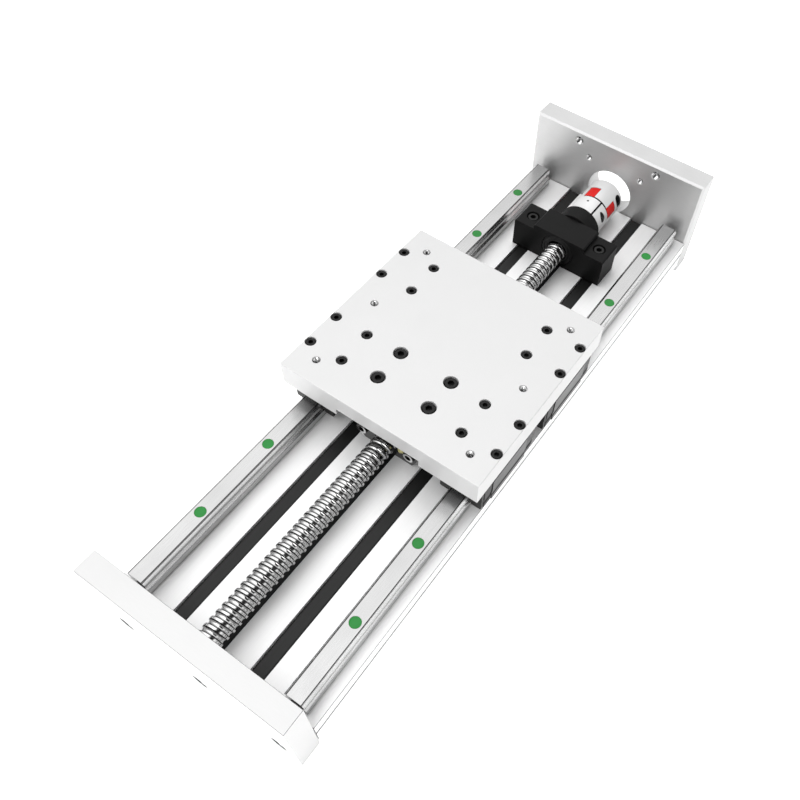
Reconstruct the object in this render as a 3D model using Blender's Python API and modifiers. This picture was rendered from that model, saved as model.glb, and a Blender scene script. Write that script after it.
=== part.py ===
"""A ball screw linear stage: a table on four rail carriages, driven along a base by a ball screw.

X runs along the screw towards the motor plate, Y across the rails and Z up. The origin is in the
middle of the stage, on the surface that its two end plates stand on. Run it in Blender 4.5.
"""

import math

import bmesh
import bpy
from mathutils import Matrix, Vector

MM = 0.001
GAP = 0.3 * MM  # left between two pieces that touch or lie inside each other
OVERSHOOT = 2 * MM  # how far a cutter stands out of the face that it cuts

# Sides of a round piece or hole
HEXAGON = 6
SMALL_ROUND = 8
MEDIUM_ROUND = 12
LARGE_ROUND = 24

# Base, end plates and screw axis
WIDTH = 150 * MM
FRONT_FACE = -248.5 * MM
FRONT_PLATE_THICKNESS = 15 * MM
FRONT_PLATE_HEIGHT = 75 * MM
MOTOR_FACE = 248.5 * MM
MOTOR_PLATE_THICKNESS = 18 * MM
MOTOR_PLATE_HEIGHT = 90 * MM
PLATE_CHAMFER = 1.5 * MM
BASE_BOTTOM = 7.5 * MM
BASE_TOP = 32.5 * MM
BASE_FRONT = FRONT_FACE + FRONT_PLATE_THICKNESS
BASE_REAR = MOTOR_FACE - MOTOR_PLATE_THICKNESS
AXIS_Z = 47 * MM
PLATE_SCREW_PLACES = [(-60 * MM, 14.5 * MM), (0, 14.5 * MM), (60 * MM, 14.5 * MM)]
PLATE_SCREW_RADIUS = 3.3 * MM
PLATE_COUNTERBORE = (5.5 * MM, 7 * MM)  # radius and depth
MOTOR_BORE_RADIUS = 19.5 * MM
LARGE_MOTOR_HOLES = (69.6 * MM, 3.5 * MM)  # side of the square that the holes stand on, and radius
SMALL_MOTOR_HOLES = (47.14 * MM, 2.6 * MM)

# T-slots of the base, and the strips that close three of them
SLOT_CENTRES = [60 * MM, 30 * MM, 0, -30 * MM, -60 * MM]
STRIP_CENTRES = {"left": 30 * MM, "middle": 0, "right": -30 * MM}
SLOT_MOUTH = (10 * MM, 4 * MM)  # width and depth
SLOT_CHAMBER = (16 * MM, 6 * MM)
SIDE_GROOVE = (2.6 * MM, 3.6 * MM)
SIDE_GROOVE_Z = 21.2 * MM
STRIP_RECESS = 1.4 * MM
STRIP_THICKNESS = 1.4 * MM
STRIP_LEG = 1.1 * MM
STRIP_HOOK = 0.9 * MM

# Rails
RAIL_Y = 60 * MM
RAIL_FRONT = -229.5 * MM
RAIL_REAR = 223.5 * MM
RAIL_HEIGHT = 15 * MM
RAIL_TOP = BASE_TOP + RAIL_HEIGHT
# Half sections of the rail and of the carriage's channel: (across, up from the base), in millimetres
RAIL_HALF_SECTION = [(7.5, 0.0), (7.5, 6.0), (5.8, 7.8), (5.8, 9.2), (7.2, 10.6), (7.2, 12.6), (5.7, 14.2)]
RAIL_TOP_HALF_WIDTH = 5.7
RAIL_HOLE_PITCH = 60 * MM
RAIL_HOLE_MIDDLE = 2.8 * MM
RAIL_HOLES_EACH_WAY = 3
RAIL_COUNTERBORE = (3.75 * MM, 5.3 * MM)
RAIL_HOLE_RADIUS = 2.25 * MM

# Table
TABLE_X = -4.1 * MM
TABLE_LENGTH = 152 * MM
TABLE_WIDTH = 154 * MM
TABLE_BOTTOM = 60.5 * MM
TABLE_TOP = 80.5 * MM
TABLE_CHAMFER = 0.6 * MM
CHANNEL_HALF_WIDTH = 32.5 * MM
CHANNEL_TOP = 66.5 * MM
TAPPED_HOLE_PITCH = 60 * MM
TAPPED_HOLE = (2.5 * MM, 14 * MM)

# Carriages
CARRIAGE_OFFSET = 37.5 * MM  # from the middle of the table, along X
CARRIAGE_WIDTH = 34 * MM
CARRIAGE_BODY_LENGTH = 39.4 * MM
CARRIAGE_LENGTH = 61.4 * MM
CARRIAGE_BOTTOM = BASE_TOP + 4.3 * MM
CARRIAGE_CHANNEL = [
    (8.1, 0.0), (8.1, 6.4), (6.5, 8.0), (6.5, 9.0), (7.8, 10.4), (7.8, 12.9), (6.3, 14.5), (6.3, 15.7),
]
CARRIAGE_CHAMFER = 1 * MM
END_CAP_INSET = 0.5 * MM
CARRIAGE_SCREW_OFFSET = 13 * MM
CARRIAGE_THREAD = (2.3 * MM, 6 * MM)

# Ball nut and its housing
HOUSING_X = (-59.5 * MM, -19.5 * MM)
HOUSING_HALF_WIDTH = 26 * MM
HOUSING_BOTTOM = 33 * MM
HOUSING_TOP = CHANNEL_TOP - GAP
HOUSING_SCREW_OFFSETS = (12 * MM, 20 * MM)  # along X and Y
HOUSING_THREAD = (2.8 * MM, 9 * MM)
NUT_RADIUS = 13 * MM
NUT_LENGTH = 39.5 * MM
FLANGE_RADIUS = 24 * MM
FLANGE_THICKNESS = 10 * MM
FLANGE_SCREW_Y = 19 * MM
FLANGE_HOLE_RADIUS = 2.5 * MM
FLANGE_THREAD_DEPTH = 12 * MM

# Screw shaft: (end of the step along X, radius), from the front end
SHAFT_FRONT = -240.8 * MM
SHAFT_STEPS = [(-234.7, 5), (147.5, 8), (182.6, 6), (200.5, 5)]
SCREW_RADIUS = 8 * MM

# Front bearing, support block, its bearings, cover, seal and lock nut
FRONT_BEARING = (-241 * MM, -235 * MM, 5.3 * MM, 11 * MM)  # ends along X, bore and outer radius
FRONT_SEAT = (11.3 * MM, 8 * MM)
BLOCK_X = (145.3 * MM, 169 * MM)
BLOCK_HALF_WIDTH = 39.7 * MM
BLOCK_SHOULDER_TOP = 57.5 * MM
BLOCK_CROWN_HALF_WIDTH = 22.5 * MM
BLOCK_CROWN_TOP = 61.7 * MM
BLOCK_CHAMFER = 1 * MM
BLOCK_SCREW_Y = 30 * MM
BLOCK_COUNTERBORE = (5 * MM, 6 * MM)
BLOCK_HOLE_RADIUS = 2.8 * MM
SEAL_SEAT = (13.5 * MM, 2 * MM)
BLOCK_LIP_RADIUS = 9 * MM
BLOCK_LIP_REAR = 149 * MM
BLOCK_BORE_RADIUS = 12.3 * MM
SEAL = (145.5 * MM, 147 * MM, 8.4 * MM, 13.2 * MM)
SUPPORT_BEARINGS = {
    "front": (149.3 * MM, 155.3 * MM, 6.3 * MM, 12 * MM),
    "rear": (155.6 * MM, 161.6 * MM, 6.3 * MM, 12 * MM),
}
COVER_X = (169.3 * MM, 182.5 * MM)
COVER_RADIUS = 17 * MM
COVER_BOTTOM = 33 * MM
COVER_BORE_RADIUS = 12.9 * MM
COVER_FLOOR = 4 * MM
COVER_SPIGOT = (161.9 * MM, 10 * MM, 12 * MM)  # front end, bore and outer radius
LOCK_NUT_X = (161.9 * MM, 175 * MM, 182.2 * MM)  # collar, head and end
LOCK_NUT_RADII = (6.3 * MM, 8.5 * MM, 12.4 * MM)  # bore, collar and head
LOCK_NUT_SLOTS = 4
LOCK_NUT_SLOT = (4 * MM, 2 * MM)  # width and depth

# Jaw coupling
COUPLING_RADIUS = 15 * MM
SCREW_HUB_X = (183 * MM, 201 * MM)
MOTOR_HUB_X = (213.4 * MM, 225 * MM)
SCREW_HUB_BORE = 5.3 * MM
MOTOR_HUB_BORE = 7 * MM
JAW_INNER_RADIUS = 7.6 * MM
JAW_END_GAP = 0.9 * MM
JAW_ROOT = 1 * MM  # how far a jaw starts inside its hub's far face
LEG_ANGLE = 20  # degrees from +Z towards +Y, at the first spider leg
LEG_WIDTH = 36
LEG_COUNT = 4
JAW_CLEARANCE = 2.4  # degrees between a leg and a jaw
SPIDER_CORE_RADIUS = 6.8 * MM
CLAMP_SLIT_ANGLES = {"screw": -28, "motor": -105}  # degrees from +Z towards +Y
CLAMP_HEAD_SIDES = {"screw": 1, "motor": -1}  # which side of the slit the screw's head is on
CLAMP_SLIT_WIDTH = 1.2 * MM
CLAMP_SCREW_OFFSET = 11.5 * MM  # from the coupling's axis to the clamp screw's
CLAMP_SCREW_SEAT = 4 * MM  # from the slit to the screw head's seat
CLAMP_HOLE_RADII = (1.8 * MM, 3 * MM)
CLAMP_SCREW_X = {"screw": 193.5 * MM, "motor": 219.5 * MM}

# Socket screws: head radius and height, shank radius and length, key width and depth
TABLE_SCREW = (3.4 * MM, 4 * MM, 2 * MM, 20.5 * MM, 3 * MM, 2 * MM)
HOUSING_SCREW = (4.25 * MM, 5 * MM, 2.5 * MM, 16 * MM, 4 * MM, 2.5 * MM)
BLOCK_SCREW = (4.25 * MM, 5 * MM, 2.5 * MM, 26 * MM, 4 * MM, 2.5 * MM)
FLANGE_SCREW = (4.25 * MM, 3.1 * MM, 2.2 * MM, 20 * MM, 3 * MM, 1.6 * MM)
CLAMP_SCREW = (2.6 * MM, 3 * MM, 1.5 * MM, 9 * MM, 2.5 * MM, 1.5 * MM)
TABLE_COUNTERBORE = (3.75 * MM, 5 * MM)
TABLE_HOLE_RADIUS = 2.3 * MM
HOUSING_COUNTERBORE = (5 * MM, 6 * MM)
HOUSING_HOLE_RADIUS = 2.8 * MM

SIDES = {"left": 1, "right": -1}  # towards +Y and towards -Y
ENDS = {"front": -1, "rear": 1}  # towards the front plate and towards the motor plate
ALONG_X = Matrix(((0, 0, 1), (1, 0, 0), (0, 1, 0))).to_4x4()  # turns local Z to world X, X to Y, Y to Z

# Finish of each kind of piece: colour, metallic value and roughness
FINISHES = {
    "anodised": ((0.86, 0.87, 0.88, 1), 0.6, 0.45),
    "rail_steel": ((0.55, 0.56, 0.57, 1), 1.0, 0.3),
    "screw_steel": ((0.62, 0.62, 0.62, 1), 1.0, 0.18),
    "carriage_steel": ((0.42, 0.43, 0.44, 1), 1.0, 0.35),
    "black_oxide": ((0.03, 0.03, 0.032, 1), 0.5, 0.5),
    "black_plastic": ((0.03, 0.03, 0.03, 1), 0.0, 0.55),
    "strip_rubber": ((0.035, 0.035, 0.037, 1), 0.0, 0.6),
    "coupling_alloy": ((0.85, 0.86, 0.87, 1), 0.8, 0.3),
    "spider_red": ((0.75, 0.05, 0.03, 1), 0.0, 0.45),
}


def clear_scene():
    """Remove everything that an earlier run or the startup file left."""
    for piece in list(bpy.data.objects):
        bpy.data.objects.remove(piece, do_unlink=True)
    for collection in list(bpy.data.collections):
        bpy.data.collections.remove(collection)


def new_collection(name):
    collection = bpy.data.collections.new(name)
    bpy.context.scene.collection.children.link(collection)
    return collection


def new_material(name, finish):
    """A material of the piece's own, with the finish's colour, metallic value and roughness."""
    colour, metallic, roughness = FINISHES[finish]
    material = bpy.data.materials.new(name)
    material.use_nodes = True
    shader = material.node_tree.nodes["Principled BSDF"]
    shader.inputs["Base Color"].default_value = colour
    shader.inputs["Metallic"].default_value = metallic
    shader.inputs["Roughness"].default_value = roughness
    material.diffuse_color = colour
    return material


def smooth(mesh):
    mesh.shade_smooth()
    mesh.set_sharp_from_angle(angle=math.radians(35))


def add_piece(name, mesh, finish, carrier, matrix=Matrix()):
    """Put a mesh in the stage's collection, on the empty that carries it."""
    piece = bpy.data.objects.new(name, mesh)
    stage.objects.link(piece)
    piece.data.materials.clear()
    piece.data.materials.append(None)
    piece.material_slots[0].link = "OBJECT"
    piece.material_slots[0].material = new_material(name, finish)
    piece.matrix_world = matrix
    piece.parent = carrier
    piece.matrix_parent_inverse = carrier.matrix_world.inverted()
    return piece


def add_carrier(name, location):
    """An empty on a joint's axis, for the pieces that move together."""
    carrier = bpy.data.objects.new(name, None)
    carrier.location = location
    stage.objects.link(carrier)
    bpy.context.view_layer.update()
    return carrier


def mesh_from(builder, name):
    mesh = bpy.data.meshes.new(name)
    builder.to_mesh(mesh)
    builder.free()
    return mesh


def box_mesh(name, low, high, chamfer=0, chooses=lambda edge: True):
    """A box between two corners, with its chosen edges chamfered."""
    size = [top - bottom for bottom, top in zip(low, high)]
    middle = [(top + bottom) / 2 for bottom, top in zip(low, high)]
    builder = bmesh.new()
    shape = Matrix.Translation(middle) @ Matrix.Diagonal((*size, 1))
    bmesh.ops.create_cube(builder, size=1, matrix=shape)
    if chamfer:
        edges = [edge for edge in builder.edges if chooses(edge)]
        bmesh.ops.bevel(builder, geom=edges, offset=chamfer, segments=1, affect="EDGES")
    return mesh_from(builder, name)


def cylinders_mesh(name, places, radius, low, high, turn=Matrix(), segments=MEDIUM_ROUND):
    """Separate cylinders of one radius, standing side by side between two heights."""
    builder = bmesh.new()
    for across, up in places:
        middle = Matrix.Translation((across, up, (low + high) / 2))
        bmesh.ops.create_cone(
            builder, cap_ends=True, segments=segments, radius1=radius, radius2=radius,
            depth=high - low, matrix=turn @ middle,
        )
    return mesh_from(builder, name)


def extruded_mesh(name, outlines, low, high):
    """Flat outlines of (y, z) points, extruded along X between two places."""
    curve = bpy.data.curves.new(name, "CURVE")
    curve.dimensions = "2D"
    curve.fill_mode = "BOTH"
    curve.extrude = (high - low) / 2
    for outline in outlines:
        spline = curve.splines.new("POLY")
        spline.points.add(len(outline) - 1)
        for point, (across, up) in zip(spline.points, outline):
            point.co = (across, up, 0, 1)
        spline.use_cyclic_u = True
    guide = bpy.data.objects.new(name, curve)
    stage.objects.link(guide)
    mesh = evaluated_mesh(guide)
    builder = bmesh.new()
    builder.from_mesh(mesh)
    bmesh.ops.remove_doubles(builder, verts=builder.verts, dist=MM / 1000)
    builder.to_mesh(mesh)
    builder.free()
    mesh.transform(Matrix.Translation(((low + high) / 2, 0, 0)) @ ALONG_X)
    bpy.data.objects.remove(guide)
    bpy.data.curves.remove(curve)
    return mesh


def turned_mesh(name, profile, segments=LARGE_ROUND):
    """A profile of (radius, height) points turned about Z. It starts at the top and runs down outside."""
    outline = bpy.data.meshes.new(name)
    edges = [(index, index + 1) for index in range(len(profile) - 1)]
    if profile[0][0] > 0:
        edges.append((len(profile) - 1, 0))
    outline.from_pydata([(radius, 0, height) for radius, height in profile], edges, [])
    guide = bpy.data.objects.new(name, outline)
    stage.objects.link(guide)
    turning = guide.modifiers.new("Turn", "SCREW")
    turning.steps = segments
    turning.render_steps = segments
    turning.use_merge_vertices = True
    turning.merge_threshold = 0.00001
    mesh = evaluated_mesh(guide)
    bpy.data.objects.remove(guide)
    bpy.data.meshes.remove(outline)
    return mesh


def evaluated_mesh(piece):
    """The mesh that an object shows with its modifiers applied."""
    bpy.context.view_layer.update()
    graph = bpy.context.evaluated_depsgraph_get()
    return bpy.data.meshes.new_from_object(piece.evaluated_get(graph))


def ring_mesh(name, low, high, bore, radius, segments=LARGE_ROUND):
    """A plain ring about the screw's axis, between two places along X."""
    mesh = turned_mesh(name, [(radius, high), (radius, low), (bore, low), (bore, high)], segments)
    mesh.transform(Matrix.Translation((0, 0, AXIS_Z)) @ ALONG_X)
    return mesh


def cut(piece, mesh, operation="DIFFERENCE"):
    """Cut a piece with a closed mesh, which stays in the cutters' collection."""
    cutter = bpy.data.objects.new(mesh.name, mesh)
    cutters.objects.link(cutter)
    cutter.hide_render = True
    cutter.display_type = "WIRE"
    cutter.parent = piece
    cutter.matrix_parent_inverse = piece.matrix_world.inverted()
    boolean = piece.modifiers.new(operation.title(), "BOOLEAN")
    boolean.operation = operation
    boolean.object = cutter


def drill_down(piece, name, places, radius, bottom, top, segments=MEDIUM_ROUND):
    """Vertical holes at (x, y) places."""
    cut(piece, cylinders_mesh(name, places, radius, bottom, top, segments=segments))


def drill_along(piece, name, places, radius, low, high, segments=MEDIUM_ROUND):
    """Holes along X at (y, z) places."""
    cut(piece, cylinders_mesh(name, places, radius, low, high, ALONG_X, segments))


def mirrored(half, middle=0):
    """A closed outline from the points of its +Y half, bottom to top."""
    right = [(middle + across, up) for across, up in half]
    left = [(middle - across, up) for across, up in reversed(half)]
    return right + left


def arc(radius, start, end, steps, centre=(0, 0)):
    """Points on a circle in the YZ plane, with angles in degrees from +Z towards +Y."""
    points = []
    for index in range(steps + 1):
        angle = math.radians(start + (end - start) * index / steps)
        points.append((centre[0] + radius * math.sin(angle), centre[1] + radius * math.cos(angle)))
    return points


def grid(x_places, y_places):
    return [(x, y) for x in x_places for y in y_places]


def socket_screw_mesh(name, sizes, segments=MEDIUM_ROUND):
    """A socket head screw standing on Z, with the underside of its head at the origin."""
    head_radius, head_height, shank_radius, shank_length, key_width, key_depth = sizes
    profile = [
        (0, head_height),
        (head_radius, head_height),
        (head_radius, 0),
        (shank_radius, 0),
        (shank_radius, -shank_length),
        (0, -shank_length),
    ]
    blank = bpy.data.objects.new(name, turned_mesh(name, profile, segments))
    stage.objects.link(blank)
    key_radius = key_width / math.sqrt(3)
    key_floor = head_height - key_depth
    key = cylinders_mesh("key", [(0, 0)], key_radius, key_floor, head_height + OVERSHOOT, segments=HEXAGON)
    cut(blank, key)
    mesh = evaluated_mesh(blank)
    smooth(mesh)
    for used in [*blank.children, blank]:
        bpy.data.objects.remove(used)
    return mesh


def add_screws(prefix, sizes, places, carrier, turn=Matrix()):
    """The same screw at each place, with names numbered from 1."""
    mesh = socket_screw_mesh(prefix, sizes)
    for number, place in enumerate(places, 1):
        name = prefix if len(places) == 1 else f"{prefix}_{number}"
        add_piece(name, mesh.copy(), "black_oxide", carrier, Matrix.Translation(place) @ turn)


def slot_outline(centre):
    """The points of one T-slot, from its +Y lip to its -Y lip."""
    mouth = SLOT_MOUTH[0] / 2
    chamber = SLOT_CHAMBER[0] / 2
    lip = BASE_TOP - SLOT_MOUTH[1]
    floor = lip - SLOT_CHAMBER[1]
    half = [(mouth, BASE_TOP), (mouth, lip), (chamber, lip), (chamber, floor)]
    return mirrored(half, centre)


def side_outline(side):
    """The groove in one side of the base, bottom to top."""
    outer = side * WIDTH / 2
    inner = side * (WIDTH / 2 - SIDE_GROOVE[1])
    low = SIDE_GROOVE_Z - SIDE_GROOVE[0] / 2
    high = SIDE_GROOVE_Z + SIDE_GROOVE[0] / 2
    return [(outer, BASE_BOTTOM), (outer, low), (inner, low), (inner, high), (outer, high), (outer, BASE_TOP)]


def add_base():
    """The extrusion, with the channels that the end plates' screws are tapped into."""
    outline = side_outline(1)
    for centre in SLOT_CENTRES:
        outline += slot_outline(centre)
    outline += reversed(side_outline(-1))
    channels = [arc(PLATE_SCREW_RADIUS, 0, 315, SMALL_ROUND - 1, place) for place in PLATE_SCREW_PLACES]
    mesh = extruded_mesh("base_plate", [outline, *channels], BASE_FRONT + GAP, BASE_REAR - GAP)
    add_piece("base_plate", mesh, "anodised", frame)


def add_slot_strips():
    """Soft strips whose two legs hook under the lips of a T-slot."""
    half_width = SLOT_MOUTH[0] / 2 - GAP
    top = BASE_TOP - STRIP_RECESS
    underside = top - STRIP_THICKNESS
    hook_top = BASE_TOP - SLOT_MOUTH[1] - GAP
    hook_bottom = hook_top - STRIP_HOOK
    leg = half_width - STRIP_LEG
    half = [
        (leg, underside),
        (leg, hook_bottom),
        (half_width + STRIP_HOOK, hook_bottom),
        (half_width + STRIP_HOOK, hook_top),
        (half_width, hook_top),
        (half_width, top),
    ]
    for side, centre in STRIP_CENTRES.items():
        name = f"slot_strip_{side}"
        mesh = extruded_mesh(name, [mirrored(half, centre)], BASE_FRONT + 2 * GAP, BASE_REAR - 2 * GAP)
        strip = add_piece(name, mesh, "strip_rubber", frame)
        if centre:
            place = [(sum(BLOCK_X) / 2, centre)]
            drill_down(strip, f"{name}_hole", place, BLOCK_HOLE_RADIUS, hook_bottom - OVERSHOOT, BASE_TOP)


def add_front_plate():
    low = (FRONT_FACE, -WIDTH / 2, 0)
    high = (BASE_FRONT, WIDTH / 2, FRONT_PLATE_HEIGHT)
    plate = add_piece("front_plate", box_mesh("front_plate", low, high, TABLE_CHAMFER), "anodised", frame)
    bore_radius, bore_depth = PLATE_COUNTERBORE
    outer, inner = FRONT_FACE - OVERSHOOT, BASE_FRONT + OVERSHOOT
    places = PLATE_SCREW_PLACES
    drill_along(plate, "front_heads", places, bore_radius, outer, FRONT_FACE + bore_depth)
    drill_along(plate, "front_holes", places, PLATE_SCREW_RADIUS, outer, inner, SMALL_ROUND)
    seat_radius, seat_depth = FRONT_SEAT
    drill_along(plate, "front_seat", [(0, AXIS_Z)], seat_radius, BASE_FRONT - seat_depth, inner, LARGE_ROUND)


def is_inner_edge(edge):
    """True for the top and side edges of the motor plate that face the table."""
    middle = (edge.verts[0].co + edge.verts[1].co) / 2
    on_inner_face = abs(middle.x - BASE_REAR) < GAP
    return on_inner_face and middle.z > GAP


def square_places(side):
    """The corners of a square about the screw's axis, as (y, z) places."""
    return [(y * side / 2, AXIS_Z + z * side / 2) for y in (-1, 1) for z in (-1, 1)]


def add_motor_plate():
    low = (BASE_REAR, -WIDTH / 2, 0)
    high = (MOTOR_FACE, WIDTH / 2, MOTOR_PLATE_HEIGHT)
    mesh = box_mesh("motor_plate", low, high, PLATE_CHAMFER, is_inner_edge)
    plate = add_piece("motor_plate", mesh, "anodised", frame)
    inner, outer = BASE_REAR - OVERSHOOT, MOTOR_FACE + OVERSHOOT
    bore_radius, bore_depth = PLATE_COUNTERBORE
    drill_along(plate, "motor_bore", [(0, AXIS_Z)], MOTOR_BORE_RADIUS, inner, outer, LARGE_ROUND)
    places = PLATE_SCREW_PLACES
    drill_along(plate, "motor_heads", places, bore_radius, MOTOR_FACE - bore_depth, outer)
    drill_along(plate, "motor_screw_holes", places, PLATE_SCREW_RADIUS, inner, outer, SMALL_ROUND)
    for name, (side, radius) in {"large": LARGE_MOTOR_HOLES, "small": SMALL_MOTOR_HOLES}.items():
        drill_along(plate, f"{name}_motor_holes", square_places(side), radius, inner, outer)


def add_rails():
    half = [(across * MM, BASE_TOP + max(up * MM, GAP)) for across, up in RAIL_HALF_SECTION]
    half.append((RAIL_TOP_HALF_WIDTH * MM, RAIL_TOP))
    radius, depth = RAIL_COUNTERBORE
    steps = range(-RAIL_HOLES_EACH_WAY, RAIL_HOLES_EACH_WAY + 1)
    for side, sign in SIDES.items():
        outline = mirrored(half, sign * RAIL_Y)
        name = f"rail_{side}"
        rail = add_piece(name, extruded_mesh(name, [outline], RAIL_FRONT, RAIL_REAR), "rail_steel", frame)
        holes = [(RAIL_HOLE_MIDDLE + step * RAIL_HOLE_PITCH, sign * RAIL_Y) for step in steps]
        drill_down(rail, f"{name}_heads", holes, radius, RAIL_TOP - depth, RAIL_TOP + OVERSHOOT)
        below = BASE_TOP - OVERSHOOT
        drill_down(rail, f"{name}_holes", holes, RAIL_HOLE_RADIUS, below, RAIL_TOP, SMALL_ROUND)


def carriage_places():
    """Each carriage's name and its middle on the table."""
    places = {}
    for end, x_sign in ENDS.items():
        for side, y_sign in SIDES.items():
            places[f"{end}_{side}"] = (TABLE_X + x_sign * CARRIAGE_OFFSET, y_sign * RAIL_Y)
    return places


def carriage_screw_places(middle_x, middle_y):
    steps = (-CARRIAGE_SCREW_OFFSET, CARRIAGE_SCREW_OFFSET)
    return grid([middle_x + step for step in steps], [middle_y + step for step in steps])


def carriage_outline(middle_y, inset):
    """An upside-down U that clears the rail all round."""
    outer = CARRIAGE_WIDTH / 2 - inset
    bottom = CARRIAGE_BOTTOM + inset
    top = TABLE_BOTTOM - GAP - inset
    channel = [(across * MM, max(BASE_TOP + up * MM, bottom)) for across, up in CARRIAGE_CHANNEL]
    outside = [
        (outer, bottom),
        (outer, top - CARRIAGE_CHAMFER),
        (outer - CARRIAGE_CHAMFER, top),
    ]
    return mirrored(list(reversed(channel)) + outside, middle_y)


def add_carriages():
    half_body = CARRIAGE_BODY_LENGTH / 2
    radius, depth = CARRIAGE_THREAD
    top = TABLE_BOTTOM - GAP
    for place, (middle_x, middle_y) in carriage_places().items():
        name = f"carriage_{place}_body"
        outline = carriage_outline(middle_y, 0)
        mesh = extruded_mesh(name, [outline], middle_x - half_body, middle_x + half_body)
        body = add_piece(name, mesh, "carriage_steel", table)
        threads = carriage_screw_places(middle_x, middle_y)
        drill_down(body, f"{name}_threads", threads, radius, top - depth, top + OVERSHOOT, SMALL_ROUND)
        for end, sign in ENDS.items():
            ends = sorted([middle_x + sign * (half_body + GAP), middle_x + sign * CARRIAGE_LENGTH / 2])
            cap_name = f"carriage_{place}_{end}_cap"
            cap = extruded_mesh(cap_name, [carriage_outline(middle_y, END_CAP_INSET)], *ends)
            add_piece(cap_name, cap, "black_plastic", table)


def housing_screw_places():
    middle_x = sum(HOUSING_X) / 2
    step_x, step_y = HOUSING_SCREW_OFFSETS
    return grid((middle_x - step_x, middle_x + step_x), (-step_y, step_y))


def add_table():
    low = (TABLE_X - TABLE_LENGTH / 2, -TABLE_WIDTH / 2, TABLE_BOTTOM)
    high = (TABLE_X + TABLE_LENGTH / 2, TABLE_WIDTH / 2, TABLE_TOP)
    plate = add_piece("table_plate", box_mesh("table_plate", low, high, TABLE_CHAMFER), "anodised", table)
    channel_low = (low[0] - OVERSHOOT, -CHANNEL_HALF_WIDTH, TABLE_BOTTOM - OVERSHOOT)
    channel_high = (high[0] + OVERSHOOT, CHANNEL_HALF_WIDTH, CHANNEL_TOP)
    cut(plate, box_mesh("table_channel", channel_low, channel_high))

    carriage_holes = []
    for middle_x, middle_y in carriage_places().values():
        carriage_holes += carriage_screw_places(middle_x, middle_y)
    steps = (-TAPPED_HOLE_PITCH, 0, TAPPED_HOLE_PITCH)
    tapped_holes = grid([TABLE_X + step for step in steps], (-RAIL_Y, RAIL_Y))
    counterbores = [
        ("carriage", carriage_holes, TABLE_COUNTERBORE, TABLE_HOLE_RADIUS),
        ("housing", housing_screw_places(), HOUSING_COUNTERBORE, HOUSING_HOLE_RADIUS),
    ]
    above = TABLE_TOP + OVERSHOOT
    for kind, places, (head_radius, depth), radius in counterbores:
        drill_down(plate, f"{kind}_heads", places, head_radius, TABLE_TOP - depth, above)
        drill_down(plate, f"{kind}_holes", places, radius, TABLE_BOTTOM - OVERSHOOT, TABLE_TOP, SMALL_ROUND)
    radius, depth = TAPPED_HOLE
    drill_down(plate, "tapped_holes", tapped_holes, radius, TABLE_TOP - depth, above, SMALL_ROUND)


def add_table_screws():
    """Four screws into each carriage, and four into the nut housing."""
    height = TABLE_TOP - TABLE_COUNTERBORE[1] + GAP
    for place, middle in carriage_places().items():
        places = [(x, y, height) for x, y in carriage_screw_places(*middle)]
        add_screws(f"table_screw_{place}", TABLE_SCREW, places, table)
    height = TABLE_TOP - HOUSING_COUNTERBORE[1] + GAP
    places = [(x, y, height) for x, y in housing_screw_places()]
    add_screws("nut_housing_screw", HOUSING_SCREW, places, table)


def flange_screw_places():
    return [(-FLANGE_SCREW_Y, AXIS_Z), (FLANGE_SCREW_Y, AXIS_Z)]


def add_nut_housing():
    front, rear = HOUSING_X
    low = (front, -HOUSING_HALF_WIDTH, HOUSING_BOTTOM)
    high = (rear, HOUSING_HALF_WIDTH, HOUSING_TOP)
    housing = add_piece("nut_housing", box_mesh("nut_housing", low, high), "anodised", table)
    bore = NUT_RADIUS + GAP
    outside = front - OVERSHOOT
    drill_along(housing, "nut_bore", [(0, AXIS_Z)], bore, outside, rear + OVERSHOOT, LARGE_ROUND)
    places = flange_screw_places()
    threads_end = front + FLANGE_THREAD_DEPTH
    drill_along(housing, "flange_threads", places, FLANGE_HOLE_RADIUS, outside, threads_end, SMALL_ROUND)
    places = housing_screw_places()
    radius, depth = HOUSING_THREAD
    top = HOUSING_TOP + OVERSHOOT
    drill_down(housing, "housing_threads", places, radius, HOUSING_TOP - depth, top, SMALL_ROUND)


def flange_outline():
    """A disc about the axis, cut flat just above the base and just under the table."""
    low, high = HOUSING_BOTTOM - AXIS_Z, HOUSING_TOP - AXIS_Z
    start = math.degrees(math.acos(high / FLANGE_RADIUS))
    end = math.degrees(math.acos(low / FLANGE_RADIUS))
    side = arc(FLANGE_RADIUS, end, start, 10, (0, AXIS_Z))
    return side + [(-y, z) for y, z in reversed(side)]


def add_ball_nut():
    rear = HOUSING_X[0] - GAP
    front = rear - FLANGE_THICKNESS
    flange = extruded_mesh("ball_nut", [flange_outline()], front, rear)
    nut = add_piece("ball_nut", flange, "rail_steel", table)
    barrel_x = (rear - FLANGE_THICKNESS / 2, rear + NUT_LENGTH)
    barrel = cylinders_mesh("nut_barrel", [(0, AXIS_Z)], NUT_RADIUS, *barrel_x, ALONG_X, LARGE_ROUND)
    cut(nut, barrel, "UNION")
    outside = front - OVERSHOOT
    bore_end = rear + NUT_LENGTH + OVERSHOOT
    drill_along(nut, "nut_through", [(0, AXIS_Z)], SCREW_RADIUS + GAP, outside, bore_end, LARGE_ROUND)
    places = flange_screw_places()
    drill_along(nut, "flange_holes", places, FLANGE_HOLE_RADIUS, outside, rear + OVERSHOOT, SMALL_ROUND)
    face = [(front - GAP, y, z) for y, z in places]
    head_out = Matrix.Rotation(-math.pi / 2, 4, "Y")
    add_screws("nut_flange_screw", FLANGE_SCREW, face, table, head_out)


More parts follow.
